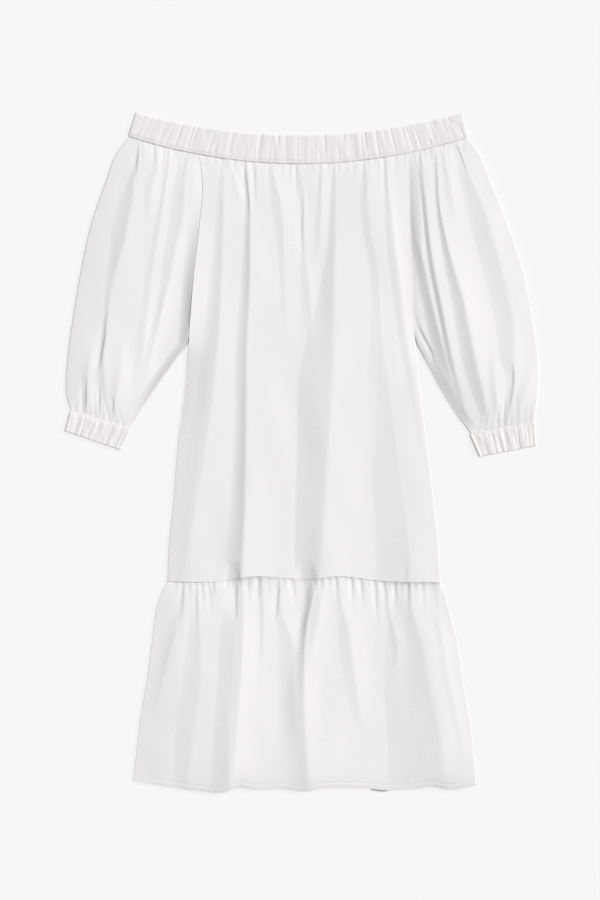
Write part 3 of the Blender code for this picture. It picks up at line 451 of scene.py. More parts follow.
sleeves = {
    "left": {
        "outward": -1,
        "outer": [(-229, 419), (-244, 400), (-260, 360), (-280, 301), (-293, 242), (-303, 182), (-311, 123),
            (-313, 94), (-311, 70), (-306, 55)],
        "underarm": [(-151, 145), (-167, 123), (-196, 82), (-219, 46), (-229, 32)],
        # y and the height of the cloth's top at its inner side
        "sideLevels": [(402, 3.9), (370, 5.9), (320, 6.9), (290, 7.8), (240, 8.8), (160, 8.5), (142, 8.9),
            (120, 9.9), (85, 8.8), (60, 5.5), (32, 4.2)],
        "lowShare": 0.85,  # of its height that its inner side loses below the underarm
        "outerShare": 0.5,  # of its height that it loses towards its outer fold
        "folds": [
            (1.5, 66, [(405, -216, 5, 1.3), (380, -219, 5, 1.5), (360, -223, 9, 2.2), (334, -225, 19, 3.6),
                (308, -230, 21, 3.9), (281, -235, 20, 3.7), (255, -243, 14, 2.7), (228, -250, 11, 1.9),
                (202, -255, 7, 1.4), (176, -258, 5, 1.6), (149, -261, 7, 2.2), (123, -263, 9, 2.6),
                (96, -261, 12, 2.2), (70, -260, 7, 1.1), (50, -258, 4, 0.4)]),
            (1.3, 28, [(407, -191, 5, 1.1), (380, -192, 9, 1.7), (354, -198, 11, 1.7), (327, -202, 9, 1.0),
                (305, -204, 5, 0)]),
            (1.2, 24, [(403, -175, 4, 1.0), (354, -181, 4, 1.1), (327, -185, 5, 1.2), (301, -189, 7, 1.2),
                (275, -193, 7, 1.1), (235, -200, 7, 0.7), (215, -202, 8, 0.9), (176, -206, 11, 1.5),
                (136, -210, 12, 1.7), (96, -216, 11, 1.3), (65, -220, 5, 0.3)]),
            (1.3, 52, [(400, -150, 5, 1.1), (380, -153, 9, 1.8), (360, -156, 13, 2.5), (334, -157, 17, 3.2),
                (308, -159, 18, 3.4), (281, -166, 15, 3.3), (255, -171, 15, 3.2), (228, -176, 13, 3.0),
                (202, -183, 9, 2.7), (176, -189, 9, 2.4), (143, -197, 9, 2.0), (110, -205, 9, 1.6), (77, -214, 6, 0)]),
            (1.5, 24, [(149, -278, 8, 0), (123, -281, 10, 0.9), (100, -285, 8, 1.3), (70, -285, 7, 1.6),
                (49, -287, 4, 1.3)]),
            (1.4, 26, [(162, -239, 10, 0), (123, -240, 13, 1.1), (90, -243, 13, 1.5), (63, -249, 8, 1.5),
                (41, -252, 4, 1.2)]),
        ],
        "grooves": [
            (2, [(350, -145, 18, 14, 0), (300, -149, 20, 14, 2.4), (262, -153, 22, 14, 4.0),
                (228, -158, 26, 14, 5.2), (190, -162, 30, 14, 5.8), (158, -166, 40, 14, 5.8),
                (140, -171, 42, 14, 5.8), (123, -179, 42, 14, 5.6), (96, -199, 28, 14, 2.8), (70, -216, 20, 14, 0)]),
            (1.5, [(408, -218, 9, 2, 1.6), (385, -220, 9, 2, 1.3), (360, -222, 9, 2, 0)]),
            (1.5, [(180, -262, 8, 1.6, 0), (155, -263, 8, 2, 1.2), (125, -268, 8, 2, 1.4), (105, -271, 8, 2, 0)]),
            (1.5, [(105, -286, 6, 1.4, 0), (85, -287, 6, 1.5, 1.1), (46, -288, 6, 1.5, 1.3)]),
            (1.5, [(95, -268, 6, 1.4, 0), (80, -269, 6, 1.5, 1.1), (44, -270, 6, 1.5, 1.3)]),
            (1.5, [(80, -250, 6, 1.4, 0), (66, -251, 6, 1.5, 1.1), (38, -252, 6, 1.5, 1.3)]),
        ],
        "neckGathers": [
            (-226, 0.5, 1.6, 14, 0), (-212, 0.7, 1.9, 22, 0), (-203, 0.4, 1.6, 14, 0),
            (-196, 0.6, 1.7, 26, 0), (-183, 0.7, 1.7, 34, -0.1), (-178, 0.6, 1.6, 24, -0.1),
            (-169, 0.4, 1.6, 14, -0.1), (-163, 0.6, 1.7, 30, -0.1), (-153, 0.6, 1.7, 26, -0.15),
            (-146, 0.4, 1.6, 18, -0.15),
        ],
        "cuffGathers": [
            (-300, 0.8, 1.7, 16, 0), (-291, 1.1, 1.7, 30, 0), (-281, 0.7, 1.6, 16, 0),
            (-275, 1.1, 1.7, 28, 0), (-264, 0.7, 1.6, 16, -0.1), (-255, 1.1, 1.7, 26, -0.2),
            (-246, 0.8, 1.6, 18, -0.2), (-237, 0.8, 1.6, 18, -0.3),
        ],
    },
    "right": {
        "outward": 1,
        "outer": [(217, 416), (230, 400), (248, 360), (271, 301), (291, 242), (303, 182), (311, 123), (312, 99),
            (311, 81), (308, 59), (305, 40)],
        "underarm": [(149, 145), (161, 123), (182, 83), (209, 42), (222, 25)],
        "sideLevels": [(402, 3.6), (370, 5.0), (320, 5.0), (290, 4.8), (160, 5.0), (142, 4.0), (120, 3.1), (25, 3.1)],
        "lowShare": 0.2,
        "outerShare": 0.1,
        "folds": [
            (1.4, 110, [(397, 140, 3, 1.0), (360, 142, 5, 1.8), (334, 143, 8, 2.6), (308, 145, 10, 3.2),
                (281, 150, 12, 3.3), (255, 158, 13, 4.2), (202, 169, 13, 5.4), (149, 182, 15, 5.4),
                (123, 189, 15, 4.8), (96, 197, 15, 3.6), (70, 208, 13, 1.7), (37, 218, 8, 0.3)]),
            (1.1, 80, [(400, 155, 4, 1.6), (360, 159, 5, 2.4), (321, 163, 5, 2.9), (281, 167, 5, 3.2),
                (242, 173, 6, 3.6), (202, 181, 6, 3.6), (162, 189, 6, 3.3), (123, 197, 6, 2.8), (83, 208, 6, 1.6),
                (37, 221, 5, 0.3)]),
            (1.4, 120, [(400, 177, 3, 1.4), (360, 178, 4, 2.0), (321, 181, 5, 2.6), (294, 186, 7, 3.4),
                (268, 192, 9, 4.0), (242, 199, 12, 4.5), (202, 211, 16, 5.2), (162, 219, 18, 5.6),
                (123, 227, 19, 5.6), (90, 235, 17, 4.6), (50, 244, 11, 2.4)]),
            (1.3, 24, [(400, 185, 4, 1.0), (367, 192, 8, 1.4), (334, 198, 11, 1.1), (297, 201, 8, 0)]),
            (1.3, 100, [(409, 204, 4, 1.2), (387, 209, 7, 1.7), (360, 222, 16, 2.6), (334, 234, 22, 3.2),
                (308, 243, 25, 3.5), (255, 259, 26, 3.7), (202, 272, 26, 3.5), (162, 279, 24, 3.3),
                (129, 278, 20, 3.2), (103, 278, 12, 2.8), (77, 275, 7, 2.2), (44, 267, 4, 1.5)]),
            (1.4, 26, [(143, 252, 8, 0), (110, 252, 9, 1.2), (70, 256, 9, 1.7), (37, 262, 5, 1.2)]),
            (1.3, 18, [(123, 304, 10, 0), (90, 297, 12, 1.2), (63, 288, 9, 1.2), (41, 281, 5, 0.8)]),
        ],
        "grooves": [
            (1.5, [(188, 147, 6, 2, 0), (169, 151, 6, 2, 1.6), (149, 161, 6, 2, 2.0), (133, 169, 6, 2, 1.8),
                (112, 173, 6, 2, 0)]),
            (1.5, [(409, 202, 7, 1.6, 1.4), (385, 210, 7, 1.8, 1.1), (366, 217, 7, 2, 0)]),
            (1.5, [(120, 274, 8, 2, 0), (105, 276, 8, 2, 1.2), (70, 273, 8, 2, 1.4), (40, 267, 8, 2, 1.0)]),
        ],
        "neckGathers": [
            (146, 0.5, 1.6, 20, 0.15), (153, 0.6, 1.7, 26, 0.15), (161, 0.4, 1.6, 16, 0.1), (168, 0.6, 1.7, 24, 0.1),
            (184, 0.4, 1.6, 14, 0), (191, 0.6, 1.7, 22, 0), (211, 0.5, 1.6, 16, 0),
        ],
        "cuffGathers": [
            (230, 0.8, 1.6, 18, 0.3), (239, 0.9, 1.7, 24, 0.25), (247, 0.8, 1.6, 18, 0.2), (257, 1.1, 1.7, 32, 0.1),
            (266, 1.2, 1.7, 34, 0), (275, 0.7, 1.6, 18, 0), (283, 0.9, 1.7, 24, 0), (293, 0.8, 1.6, 18, 0),
            (300, 0.7, 1.6, 14, 0),
        ],
    },
}


# 1 within "hold" of an edge, then falling away over about "reach"
def nearEdge(distance, hold, reach):
    return np.exp(-np.clip(distance - hold, 0, None) / reach)


# Relief above the flat level: never below a sliver, whatever is taken from it
def clearOf(relief):
    return (relief + np.sqrt(relief ** 2 + 0.3)) / 2


panelSizes = {
    "edgeColumns": (0, 0.35, 0.7),  # mm from each side, so that its turn is smooth
    "width": 330,  # mm, about, which makes them shares of the way across
    "rowCrowding": 0.6,
    "topReach": 34,
    "fullnessReach": 18,
    "bottomReach": 14,
    "roll": 0.8,  # of the sides, where they turn under
    "rollShare": 0.5,  # of the height that they lose there
    "rollFade": 4,
    "gatherShare": 0.5,  # of its depth that a gather keeps at the seam itself
    "hemLift": 0.25,  # of the turned hem below its stitches
    "stitchDepth": 0.35,
    "stitchReach": 0.8,
}


# A front panel in relief: the level it lies at, plus its rise and folds, less its grooves and gathers, plus soft
# waves. Its top edge is held at topLevel, a height or a line across, its sides at sideLevels with a tight roll
# below rollFrom, and gathers pinch it along its top and bottom edges
def frontPanel(name, panel, point, topLevel, topGathers, bottomGathers):
    sizes = panelSizes
    side = np.array(sizes["edgeColumns"]) / sizes["width"]
    steps = np.concatenate([side, np.linspace(0, 1, panel["columns"])[1:-1], 1 - side[::-1]])
    across, down = np.meshgrid(steps, crowded(panel["rows"], sizes["rowCrowding"]))
    x, y = point(across, down)
    fromTop = y[:1] - y
    fromBottom = y - y[-1:]
    gathers = edgeGathers(x, fromTop, topGathers)
    relief = panel["rise"] + foldRelief(x, y, panel["folds"])
    relief = relief * (1 - panel["topShare"] * np.exp(-fromTop / sizes["topReach"]))
    relief = relief - grooveRelief(x, y, panel["grooves"])
    relief = relief + gathers + edgeGathers(x, fromBottom, bottomGathers) + softWaves(x, y, clothSizes["waves"])
    relief = relief + panel["topFullness"] * np.exp(-(fromTop / sizes["fullnessReach"]) ** 2)
    relief = relief * (1 - panel["bottomShare"] * np.exp(-fromBottom / sizes["bottomReach"]))
    lying = clothSizes["frontLevel"] + clothSizes["wall"] / 2
    height = lying + clearOf(relief)
    if "hem" in panel:
        past = fromBottom - panel["hem"]
        stitches = sizes["stitchDepth"] * np.exp(-(past / sizes["stitchReach"]) ** 2)
        height += sizes["hemLift"] / (1 + np.exp(past * 2)) - stitches
    rolls = 1 / (1 + np.exp((y - panel["rollFrom"]) / sizes["rollFade"])) * sizes["rollShare"]
    for level, distance in zip(columnsAt(panel["sideLevels"], y), (x - x[:, :1], x[:, -1:] - x)):
        near = (1 - np.clip(distance / panel["sideReach"], 0, 1)) ** clothSizes["sidePower"]
        height = height + (level - height) * near
        height = height - rolls * (height - lying) * (1 - rounded(distance, sizes["roll"]))
    held = topLevel(x) if callable(topLevel) else topLevel
    held = held + gathers * sizes["gatherShare"]
    height = height + (held - height) * nearEdge(fromTop, clothSizes["seamHold"], panel["seamSink"])
    outer = np.stack([x, y, height], axis=-1)
    inner = outer - gridNormals(outer) * clothSizes["thickness"]
    cloth = np.stack([across * panel["flat"][0] / mm, -down * panel["flat"][1] / mm], axis=-1)
    return clothShell(name, outer, inner, cloth, poplin), outer


fineSizes = {
    "spacing": 8,
    "shift": (-3, 3),  # along the edge
    "depth": (0.3, 0.9),
    "reach": (1.1, 1.7),
    "length": (5, 18),
    "lean": (-0.1, 0.1),
}


# Small uneven gathers along an edge, one to each step of the spacing, between the listed ones
def fineGathers(start, end):
    rows = []
    for x in range(start, end, fineSizes["spacing"]):
        shift, *others = [dice.uniform(*fineSizes[key]) for key in ("shift", "depth", "reach", "length", "lean")]
        rows.append((x + shift, *others))
    return rows


bodyPiece, bodyOuter = frontPanel("bodyFront", bodyFront, bodyPoint, underCasing,
                                  bodyFront["neckGathers"] + fineGathers(-130, 136), bodyFront["waistPuckers"])
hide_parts("body_front")
underBodyGap = 0.16  # between the body and the ruffle under its edge


# Height of the ruffle's top along the waist: the body's lowest row less its thickness and a small gap
def underBody(x):
    return np.interp(x, bodyOuter[-1, :, 0], bodyOuter[-1, :, 2]) - clothSizes["thickness"] - underBodyGap


rufflePiece, ruffleOuter = frontPanel("ruffleFront", ruffleFront, rufflePoint, underBody,
                                      ruffleFront["waistGathers"] + fineGathers(-174, 180), [])
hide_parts("ruffle_front")

backPanels = {
    "columns": 150,
    "rows": 110,
    "rowCrowding": 0.4,
    "creaseCount": 11,
    "creaseShift": (-0.3, 0.3),  # of the spacing
    "creaseLean": (-0.03, 0.03),  # of the width
    "creaseWander": (-0.006, 0.006),
    "creaseFade": (0.7, 1.6),  # how soon one fades from the end that it starts at
    "creaseDepth": (0.3, 0.95),
    "creaseReach": (3, 11),
    "deepest": 1.0,
}


# A back panel lies flat: its underside is level, with soft troughs pressed up into it that run down the cloth, each
# a bell across whose path leans and wanders and which fades from one end
def backPanel(name, point, width):
    sizes = backPanels
    across, down = np.meshgrid(np.linspace(0, 1, sizes["columns"]),
                               crowded(sizes["rows"], sizes["rowCrowding"]))
    x, y = point(across, down)
    trough = np.zeros_like(x)
    for i in range(sizes["creaseCount"]):
        middle = (i + 0.5 + dice.uniform(*sizes["creaseShift"])) / sizes["creaseCount"]
        path = middle + dice.uniform(*sizes["creaseLean"]) * down
        path = path + dice.uniform(*sizes["creaseWander"]) * np.sin(5 * down)
        fade = 1.15 - np.abs(down - dice.choice((0, 1))) * dice.uniform(*sizes["creaseFade"])
        depth = dice.uniform(*sizes["creaseDepth"]) * np.clip(fade, 0, 1)
        trough += depth * np.exp(-((across - path) * width / dice.uniform(*sizes["creaseReach"])) ** 2)
    lower = np.stack([x, y, np.minimum(trough, sizes["deepest"])], axis=-1)
    upper = lower + np.array((0, 0, clothSizes["thickness"]))
    cloth = np.stack([across * width, -down * (y[0, 0] - y[-1, 0])], axis=-1)
    return clothShell(name, upper, lower, cloth, poplin)


bodyBackPiece = backPanel("bodyBack", bodyBackPoint, width=330)
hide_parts("body_back")
ruffleBackPiece = backPanel("ruffleBack", ruffleBackPoint, width=420)
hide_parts("ruffle_back")

sleeveSizes = {
    "rows": 132,
    "rowCrowding": 0.6,
    "columns": 128,  # of the upper layer
    "edgeColumns": (0.8, 0.5, 0.25, 0),  # mm from the outer fold, so that its turn is smooth
    "width": 150,  # mm, about, which makes them shares of the way across
    "linePoints": 400,
    "rise": 4.4,
    "topShare": 0.4,  # of its relief that it lacks at its gathered top
    "topReach": 34,
    "cuffShare": 0.3,
    "cuffReach": 20,
    "sideReach": 14,
    "seamSink": 10,
    "gatherShare": 0.4,
    "cornerReach": 6,  # at the ends of its seams
    "cornerRise": 4,
    "tuckReach": 8,
    "lowFrom": 160,  # y below which its inner side comes down
    "lowFade": 8,
    "lowReach": 50,
    "outerReach": 34,
    "innerRoll": 1.6,
    "outerRoll": 1.1,
    "lowerRoll": 1.6,
    "turnLevel": 3.0,  # where the upper layer turns into the lower
    "lowerStart": 0.25,
    "lowerColumns": 50,
    "lowerCrowding": 1.8,
    "troughDepth": 0.45,  # of the lower layer's soft creases
    "troughSize": 7,
    "troughWander": 1.5,
    "troughFrom": 20,
    "underarmDown": 0.445,  # how far down the body its sides meet the underarm
    "sideTuck": 1.8,  # how far the sleeve's inner side runs in under the body's
    "tuckAbove": 8,  # the underarm, where that is half as far
    "tuckFade": 3,
    "fineBetween": (146, 214),  # where fine gathers stand along its top
    "flat": (0.42, 0.39),  # m
}


# A sleeve: straight sections from its inner side to its outer fold, the upper layer in relief as a front panel's, a
# turn at the fold and the flat lower layer; the top section bends with the neckband's seam and the bend fades to
# the cuff
def sleevePiece(side):
    sizes = sleeveSizes
    sleeve = sleeves[side]
    outward = sleeve["outward"]
    underarm = smoothLine([row[1] for row in sleeve["underarm"]], [row[0] for row in sleeve["underarm"]])
    outerLine = smoothLine([row[1] for row in sleeve["outer"]], [row[0] for row in sleeve["outer"]])
    cuffY = sleeve["underarm"][-1][1]
    count = sizes["linePoints"]
    edge = np.full(count, (1 + outward) / 2)
    raglanX, raglanY = bodyBackPoint(edge, np.linspace(0, sizes["underarmDown"], count))
    lowY = np.linspace(raglanY[-1], cuffY, count // 2)[1:]
    lineY = np.concatenate([raglanY, lowY])
    lineX = np.concatenate([raglanX, underarm(lowY)]) + outward * clothSizes["gap"]
    down = crowded(sizes["rows"], sizes["rowCrowding"])
    innerY = lineY[0] + (cuffY - lineY[0]) * down
    innerX = np.interp(-innerY, -lineY, lineX)
    outerY = sleeve["outer"][0][1] + (sleeve["outer"][-1][1] - sleeve["outer"][0][1]) * down
    outerX = outerLine(outerY)
    width = np.hypot(outerX - innerX, outerY - innerY)[:, None]

    def point(across):
        x = innerX[:, None] + (outerX - innerX)[:, None] * across
        y = innerY[:, None] + (outerY - innerY)[:, None] * across
        topX = innerX[0] + (outerX[0] - innerX[0]) * across
        bend = neckSeam(topX) - halfGap - (innerY[0] + (outerY[0] - innerY[0]) * across)
        return x, y + bend * (1 - down)[:, None] + halfGap * down[:, None]

    tuck = sizes["sideTuck"] / (1 + np.exp((raglanY[-1] + sizes["tuckAbove"] - innerY) / sizes["tuckFade"]))
    tuck = tuck[:, None]
    steps = np.linspace(0, 1, sizes["columns"])[:-1]
    steps = np.concatenate([steps, 1 - np.array(sizes["edgeColumns"]) / sizes["width"]])
    upper = -tuck / width + (1 + tuck / width) * steps
    fromOuter = (1 - upper) * width
    fromSide = (upper - upper[:, :1]) * width
    x, y = point(upper)
    fromTop, fromCuff = [np.hypot(x - x[end], y - y[end]) for end in (0, -1)]
    inside = np.clip(fromOuter / sizes["cornerReach"], 0, 1)
    nearTop, nearCuff = [np.clip(1 - distance / sizes["tuckReach"], 0, 1) for distance in (fromTop, fromCuff)]
    y = y + (seamTuck + halfGap) * inside * (nearTop - nearCuff)
    topRows = sleeve["neckGathers"] + fineGathers(*sorted(outward * x for x in sizes["fineBetween"]))
    gathers = edgeGathers(x, fromTop, topRows) + edgeGathers(x, fromCuff, sleeve["cuffGathers"])
    flatter = (sizes["topShare"] * np.exp(-fromTop / sizes["topReach"])
               + sizes["cuffShare"] * np.exp(-fromCuff / sizes["cuffReach"]))
    relief = (sizes["rise"] + foldRelief(x, y, sleeve["folds"])) * (1 - flatter)
    relief = relief - grooveRelief(x, y, sleeve["grooves"]) + gathers + softWaves(x, y, clothSizes["waves"])
    lying = clothSizes["frontLevel"] + clothSizes["wall"] / 2
    height = lying + clearOf(relief)
    nearSide = np.clip(1 - fromSide / sizes["lowReach"], 0, 1) ** clothSizes["sidePower"]
    below = 1 / (1 + np.exp((y - sizes["lowFrom"]) / sizes["lowFade"]))
    height = height - sleeve["lowShare"] * below * nearSide * (height - lying)
    nearOuter = np.clip(1 - fromOuter / sizes["outerReach"], 0, 1) ** 2
    height = height - sleeve["outerShare"] * (height - lying) * nearOuter
    level = columnsAt(sleeve["sideLevels"], innerY)[0][:, None]
    seen = np.clip(fromSide - tuck - clothSizes["gap"], 0, None)
    height = height + (level - height) * np.clip(1 - seen / sizes["sideReach"], 0, 1) ** clothSizes["sidePower"]
    rolls = 1 - tuck / sizes["sideTuck"]
    height = height - rolls * (height - lying) * (1 - rounded(fromSide, sizes["innerRoll"]))
    held = level + sizes["cornerRise"] * np.clip(fromSide / sizes["cornerReach"], 0, 1)
    held = np.minimum(underCasing, held) + gathers * sizes["gatherShare"]
    for distance in (fromTop, fromCuff):
        height = height + (held - height) * nearEdge(distance, clothSizes["seamHold"], sizes["seamSink"])
    turn = rounded(fromOuter, sizes["outerRoll"])
    height = sizes["turnLevel"] + (height - sizes["turnLevel"]) * turn

    start = sizes["lowerStart"]
    lowerSteps = np.linspace(0, 1, sizes["lowerColumns"] + 1)[1:] ** sizes["lowerCrowding"]
    fromFold = start + (width - start) * lowerSteps
    lower = 1 - fromFold / width
    fall = rounded(fromFold, sizes["lowerRoll"])
    lowerX, lowerY = point(lower)
    troughs = 1 + np.sin(lowerX / sizes["troughSize"] + sizes["troughWander"] * np.sin(lowerY / 60))
    troughs = sizes["troughDepth"] * troughs * np.clip(fromFold / sizes["troughFrom"], 0, 1)
    halfWall = clothSizes["wall"] / 2
    flatLevel = clothSizes["backLevel"] - halfWall + troughs
    lowerHeight = np.maximum(sizes["turnLevel"] + (flatLevel - sizes["turnLevel"]) * fall, 0)
    outer = np.concatenate([
        np.stack([x + outward * halfWall * np.sqrt(1 - turn ** 2), y, height], axis=-1),
        np.stack([lowerX + outward * halfWall * np.sqrt(1 - fall ** 2), lowerY, lowerHeight], axis=-1)], axis=1)
    across, along = np.broadcast_arrays(np.concatenate([upper, 2 - lower], axis=1), -down[:, None])
    cloth = np.stack([across * sizes["flat"][0] / 2 / mm, along * sizes["flat"][1] / mm], axis=-1)
    if outward < 0:
        outer = outer[:, ::-1]
        cloth = cloth[:, ::-1]
    inner = outer - gridNormals(outer) * clothSizes["thickness"]
    piece = clothShell("sleeve" + side.title(), outer, inner, cloth, poplin)
    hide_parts("sleeve_" + side)
    return piece


sleevePieces = {side: sleevePiece(side) for side in sleeves}

casingSizes = {
    "backLevel": 1.1,
    "frontLevel": 4.3,
    "wall": 2.2,
    "edgeWall": 0.45,  # share of the wall that is left at its rolled edges
    "roll": 2.6,
    "rows": 34,
    "rowCrowding": 0.5,
    "columnsPerGather": 11,
    "turnColumns": 11,
    "swell": 1.1,  # of the front between gathers
    "waveHeight": 0.25,
    "waveSize": 17,
    "lowest": -0.5,  # that a gather's bottom may be
    "edgeSwell": 0.3,  # share of the swell that is left at its rolled edges
    "gatherDepth": (0.5, 1.1),
    "gatherReach": (1.3, 2.6),
    "lengths": (0.35, 0.6, 0.9, 1.6),  # shares of the casing's depth that a gather may reach
    "chances": (0.15, 0.2, 0.25, 0.4),
    "followers": ((0.2, 0.6), (0.1, 0.4)),  # strengths of the two weaker gathers after each
    "followShift": (0.3, 0.7),
    "lean": (-0.2, 0.2),
    "scallopFree": 0.45,  # how far a gather draws in the free edge
    "scallopLip": 0.3,
    "scallopReach": 2,
    "lip": 2.6,  # how far its front is thin where it covers gathered cloth
    "lipFade": 2,
    "lipSharper": 0.25,  # how much less the lip's edge is rolled
    "lipUnder": 4.85,  # height of the lip's underside
    "lipThickness": 0.32,
    "lipFlatter": 0.6,
    "lipOver": 0.9,  # how far the lip runs past the seam
    "lipReach": 5,
    "gathered": 2.4,  # cloth to each mm along it
}


# Fractions along a casing where its gathers pinch: even steps moved by two sines, as in the frame
def gatherMarks(count):
    place = np.arange(count)
    return (place + 0.5 + 0.24 * np.sin(2.4 * place) + 0.14 * np.sin(5.3 * place + 1)) / count


# An elastic casing laid flat: a closed ring whose front and back walls meet in half rounds at its ends. Its front
# swells between gathers, each a bell with its own depth, reach, lean and length, and a thin lip covers the cloth
def casingPiece(name, node, topLine, bottomLine, count, length, lean, lipBelow, backColumns):
    sizes = casingSizes
    middle = (sizes["backLevel"] + sizes["frontLevel"]) / 2
    radius = (sizes["frontLevel"] - sizes["backLevel"]) / 2
    frontAlong = np.linspace(0, 1, count * sizes["columnsPerGather"] + 1)
    turn = np.linspace(90, -90, sizes["turnColumns"] + 2)[1:-1]
    along = np.concatenate([frontAlong, np.ones(len(turn)), np.linspace(1, 0, backColumns), np.zeros(len(turn))])
    angle = np.radians(np.concatenate([np.full(len(frontAlong), 90), turn, np.full(backColumns, -90),
                                       -180 - turn[::-1]]))
    sine = np.sin(angle)[None, :]
    cosine = np.cos(angle)[None, :]
    front = np.clip(sine, 0, 1) ** 2
    across = crowded(sizes["rows"], sizes["rowCrowding"])[:, None]
    topX, topY = topLine(along)
    bottomX, bottomY = bottomLine(along)
    x = topX + (bottomX - topX) * across
    y = topY + (bottomY - topY) * across
    depthMm = np.hypot(bottomX - topX, bottomY - topY)[None, :]
    ends = [np.array([(a[0] + b[0]) / 2 for a, b in zip(topLine(at), bottomLine(at))])
            for at in (np.zeros(1), np.ones(1))]
    outwardX, outwardY = (ends[1] - ends[0]) / np.linalg.norm(ends[1] - ends[0])
    fromLip = (1 - across if lipBelow else across) * depthMm
    fromFree = (across if lipBelow else 1 - across) * depthMm
    thin = (1 - np.clip((fromLip - sizes["lip"]) / sizes["lipFade"], 0, 1)) * front
    wave = np.sin(along * length / sizes["waveSize"] + 2 * across)
    swell = sizes["swell"] + sizes["waveHeight"] * wave
    scallop = np.zeros_like(x)
    for mark in gatherMarks(count):
        for strength in [1] + [dice.uniform(*limits) for limits in sizes["followers"]]:
            at = mark if strength == 1 else mark + dice.uniform(*sizes["followShift"]) / count
            depth = dice.uniform(*sizes["gatherDepth"]) * strength
            reach = dice.uniform(*sizes["gatherReach"])
            reachDown = dice.choice(sizes["lengths"], p=sizes["chances"])
            fromTop = dice.random() < 0.5
            tilt = lean * (at - 0.5) * (0.5 - across) + dice.uniform(*sizes["lean"]) * (across - 0.5) / count
            bell = depth * np.exp(-np.abs((along - at - tilt) * length / reach) ** 1.5)
            swell -= bell * np.exp(-((across if fromTop else 1 - across) / reachDown) ** 4)
            scallop += bell
    rollFree, rollLip = [rounded(distance, sizes["roll"]) for distance in (fromFree, fromLip)]
    roll = rollFree * (1 - (1 - rollLip) * (1 - sizes["lipSharper"] * front))
    swell = np.maximum(swell, sizes["lowest"]) * (1 - sizes["lipFlatter"] * thin)
    swell = swell * (sizes["edgeSwell"] + (1 - sizes["edgeSwell"]) * roll)
    wall = sizes["wall"] / 2 * (sizes["edgeWall"] + (1 - sizes["edgeWall"]) * roll)
    outerHeight = middle + sine * (radius + wall) + front * swell
    innerHeight = middle + sine * (radius - wall)
    innerHeight = innerHeight + thin * (sizes["lipUnder"] - innerHeight)
    # the lip keeps its thickness; away from it, where thin is 0, this asks for nothing
    outerHeight = np.maximum(outerHeight, innerHeight + sizes["lipThickness"] * thin - 10 * (1 - thin))
    lipWay = -1 if lipBelow else 1
    drawn = [sizes[share] * np.exp(-distance / sizes["scallopReach"])
             for share, distance in (("scallopFree", fromFree), ("scallopLip", fromLip))]
    lap = sizes["lipOver"] * np.clip(1 - fromLip / sizes["lipReach"], 0, 1)
    y = y + lipWay * front * (lap + scallop * (drawn[0] - drawn[1]))
    outer, inner = [np.stack([x + outwardX * cosine * reach, y + outwardY * cosine * reach, height], axis=-1)
                    for reach, height in ((radius + wall, outerHeight), (radius - wall, innerHeight))]
    around = np.concatenate([[0], np.cumsum(np.hypot(np.diff(along) * length, np.diff(np.sin(angle)) * radius))])
    around = np.concatenate([around, around[-1:]]) * sizes["gathered"]
    around[-1] += 3  # the last column's own width
    cloth = np.stack(np.broadcast_arrays(around[None, :], -across * np.mean(depthMm)), axis=-1)
    # the darker gathered cloth is painted shade for the shade between the dense gathers
    piece = clothShell(name, outer, inner, cloth, poplinGatheredShaded, closed=True)
    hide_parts(node)
    return piece


# The neckband's top edge: x runs evenly along its span, and y is the arc's
def neckTopLine(along):
    start, span = bodyPlan["neck"]["topSpan"]
    x = start + span * along
    return x, neckTop(x)


# The same along the seam, half a gap above it
def neckBottomLine(along):
    start, span = bodyPlan["neck"]["seamSpan"]
    x = start + span * along
    return x, neckSeam(x) + halfGap


neckPiece = casingPiece("neckCasing", "neckband", neckTopLine, neckBottomLine,
                        count=40, length=440, lean=-0.032, lipBelow=True, backColumns=110)

cuffCorners = {
    # left and right corner along the top, then along the bottom
    "left": (((-306, 55), (-229, 32)), ((-313, 28), (-243, 4))),
    "right": (((222, 25), (305, 40)), ((235, -5), (307, 9))),
}


# A straight edge from its left corner to its right, lowered by drop
def straightLine(corners, drop):
    (startX, startY), (endX, endY) = corners
    return lambda along: (startX + (endX - startX) * along, startY + (endY - startY) * along - drop)


# A cuff: a casing between two straight edges, with its lip at the top
def cuffPiece(side):
    top, bottom = cuffCorners[side]
    return casingPiece("cuff" + side.title(), "cuff_" + side, straightLine(top, halfGap), straightLine(bottom, 0),
                       count=14, length=80, lean=0.0, lipBelow=False, backColumns=30)


cuffPieces = {side: cuffPiece(side) for side in cuffCorners}

studio = {
    "floorColour": "#F7F7F7",
    "floorGlow": 0.9,  # share of the floor's tone that shadows leave alone
    "floorHalf": 4,  # m
    "floorLevel": -0.0005,
    "worldColour": (0.99, 0.992, 1.02),
    "worldStrength": 0.44,
    "keyShare": 0.55,  # of the light on cloth that faces straight up
    "keyElevation": 41,
    "keyAzimuth": 28,  # from +X towards +Y
    "keyAngle": 24,
    "cameraCentre": (-2.30, 3.67),
    "viewHeight": 1188,  # of the picture, in mm at the cloth
    "clothHeight": 8,  # mm, at which the picture's height is measured
    "lens": 85,
}


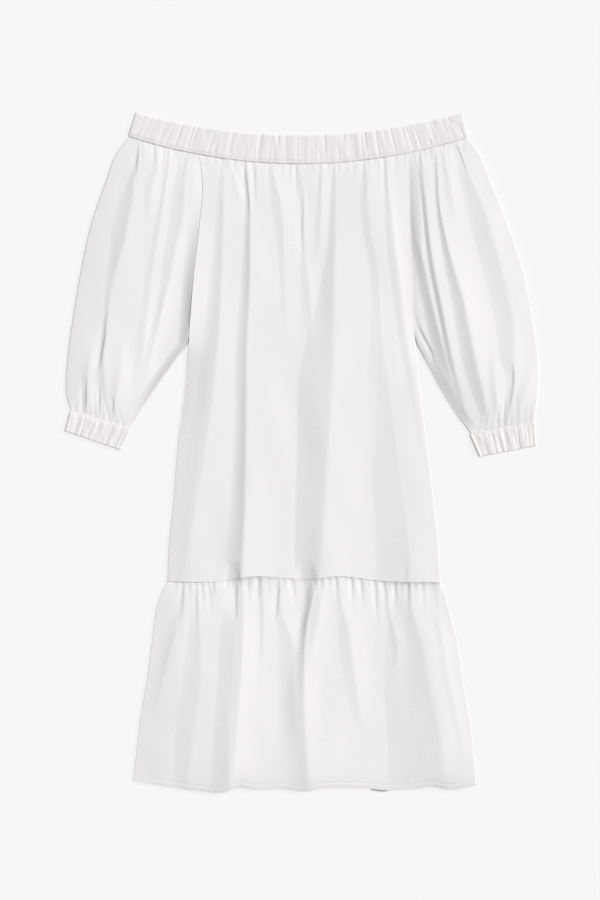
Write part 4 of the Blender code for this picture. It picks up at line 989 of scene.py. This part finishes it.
# A matt floor, part of whose tone is its own light: diffuse and emission added, whose shares make one
def floorMaterial():
    material = bpy.data.materials.new("painted board matt")
    material.use_nodes = True
    tree = material.node_tree
    tree.nodes.clear()
    colour = linearColour(studio["floorColour"])
    glow = addNode(tree, "ShaderNodeEmission", {"Color": colour, "Strength": studio["floorGlow"]})
    dimmed = [c * (1 - studio["floorGlow"]) for c in colour[:3]] + [1]
    matt = addNode(tree, "ShaderNodeBsdfDiffuse", {"Color": dimmed})
    both = addNode(tree, "ShaderNodeAddShader", None, {0: (glow, 0), 1: (matt, 0)})
    addNode(tree, "ShaderNodeOutputMaterial", None, {"Surface": (both, 0)})
    return material


floorMesh = bpy.data.meshes.new("floor")
corners = [(x * studio["floorHalf"], y * studio["floorHalf"], studio["floorLevel"])
           for x, y in ((-1, -1), (1, -1), (1, 1), (-1, 1))]
floorMesh.from_pydata(corners, [], [(0, 1, 2, 3)])
floorMesh.materials.append(floorMaterial())
floor = bpy.data.objects.new("floor", floorMesh)
bpy.context.scene.collection.objects.link(floor)

world = bpy.data.worlds.new("studio")
bpy.context.scene.world = world
world.use_nodes = True
backdrop = world.node_tree.nodes["Background"]
backdrop.inputs["Color"].default_value = (*studio["worldColour"], 1)
backdrop.inputs["Strength"].default_value = studio["worldStrength"]

key = bpy.data.lights.new("key", "SUN")
key.angle = np.radians(studio["keyAngle"])
key.energy = studio["keyShare"] * np.pi / np.sin(np.radians(studio["keyElevation"]))
keyObject = bpy.data.objects.new("key", key)
keyObject.rotation_euler = (0, np.radians(90 - studio["keyElevation"]), np.radians(studio["keyAzimuth"]))
bpy.context.scene.collection.objects.link(keyObject)

camera = bpy.data.cameras.new("camera")
camera.lens = studio["lens"]
camera.sensor_fit = "VERTICAL"
camera.sensor_height = 36
camera.sensor_width = 24
camera.clip_end = 20
cameraObject = bpy.data.objects.new("camera", camera)
distance = studio["viewHeight"] / camera.sensor_height * camera.lens
cameraObject.location = np.array((*studio["cameraCentre"], distance + studio["clothHeight"])) * mm
bpy.context.scene.collection.objects.link(cameraObject)
bpy.context.scene.camera = cameraObject
bpy.context.scene.view_settings.view_transform = "Standard"
print("floor, light and camera made")
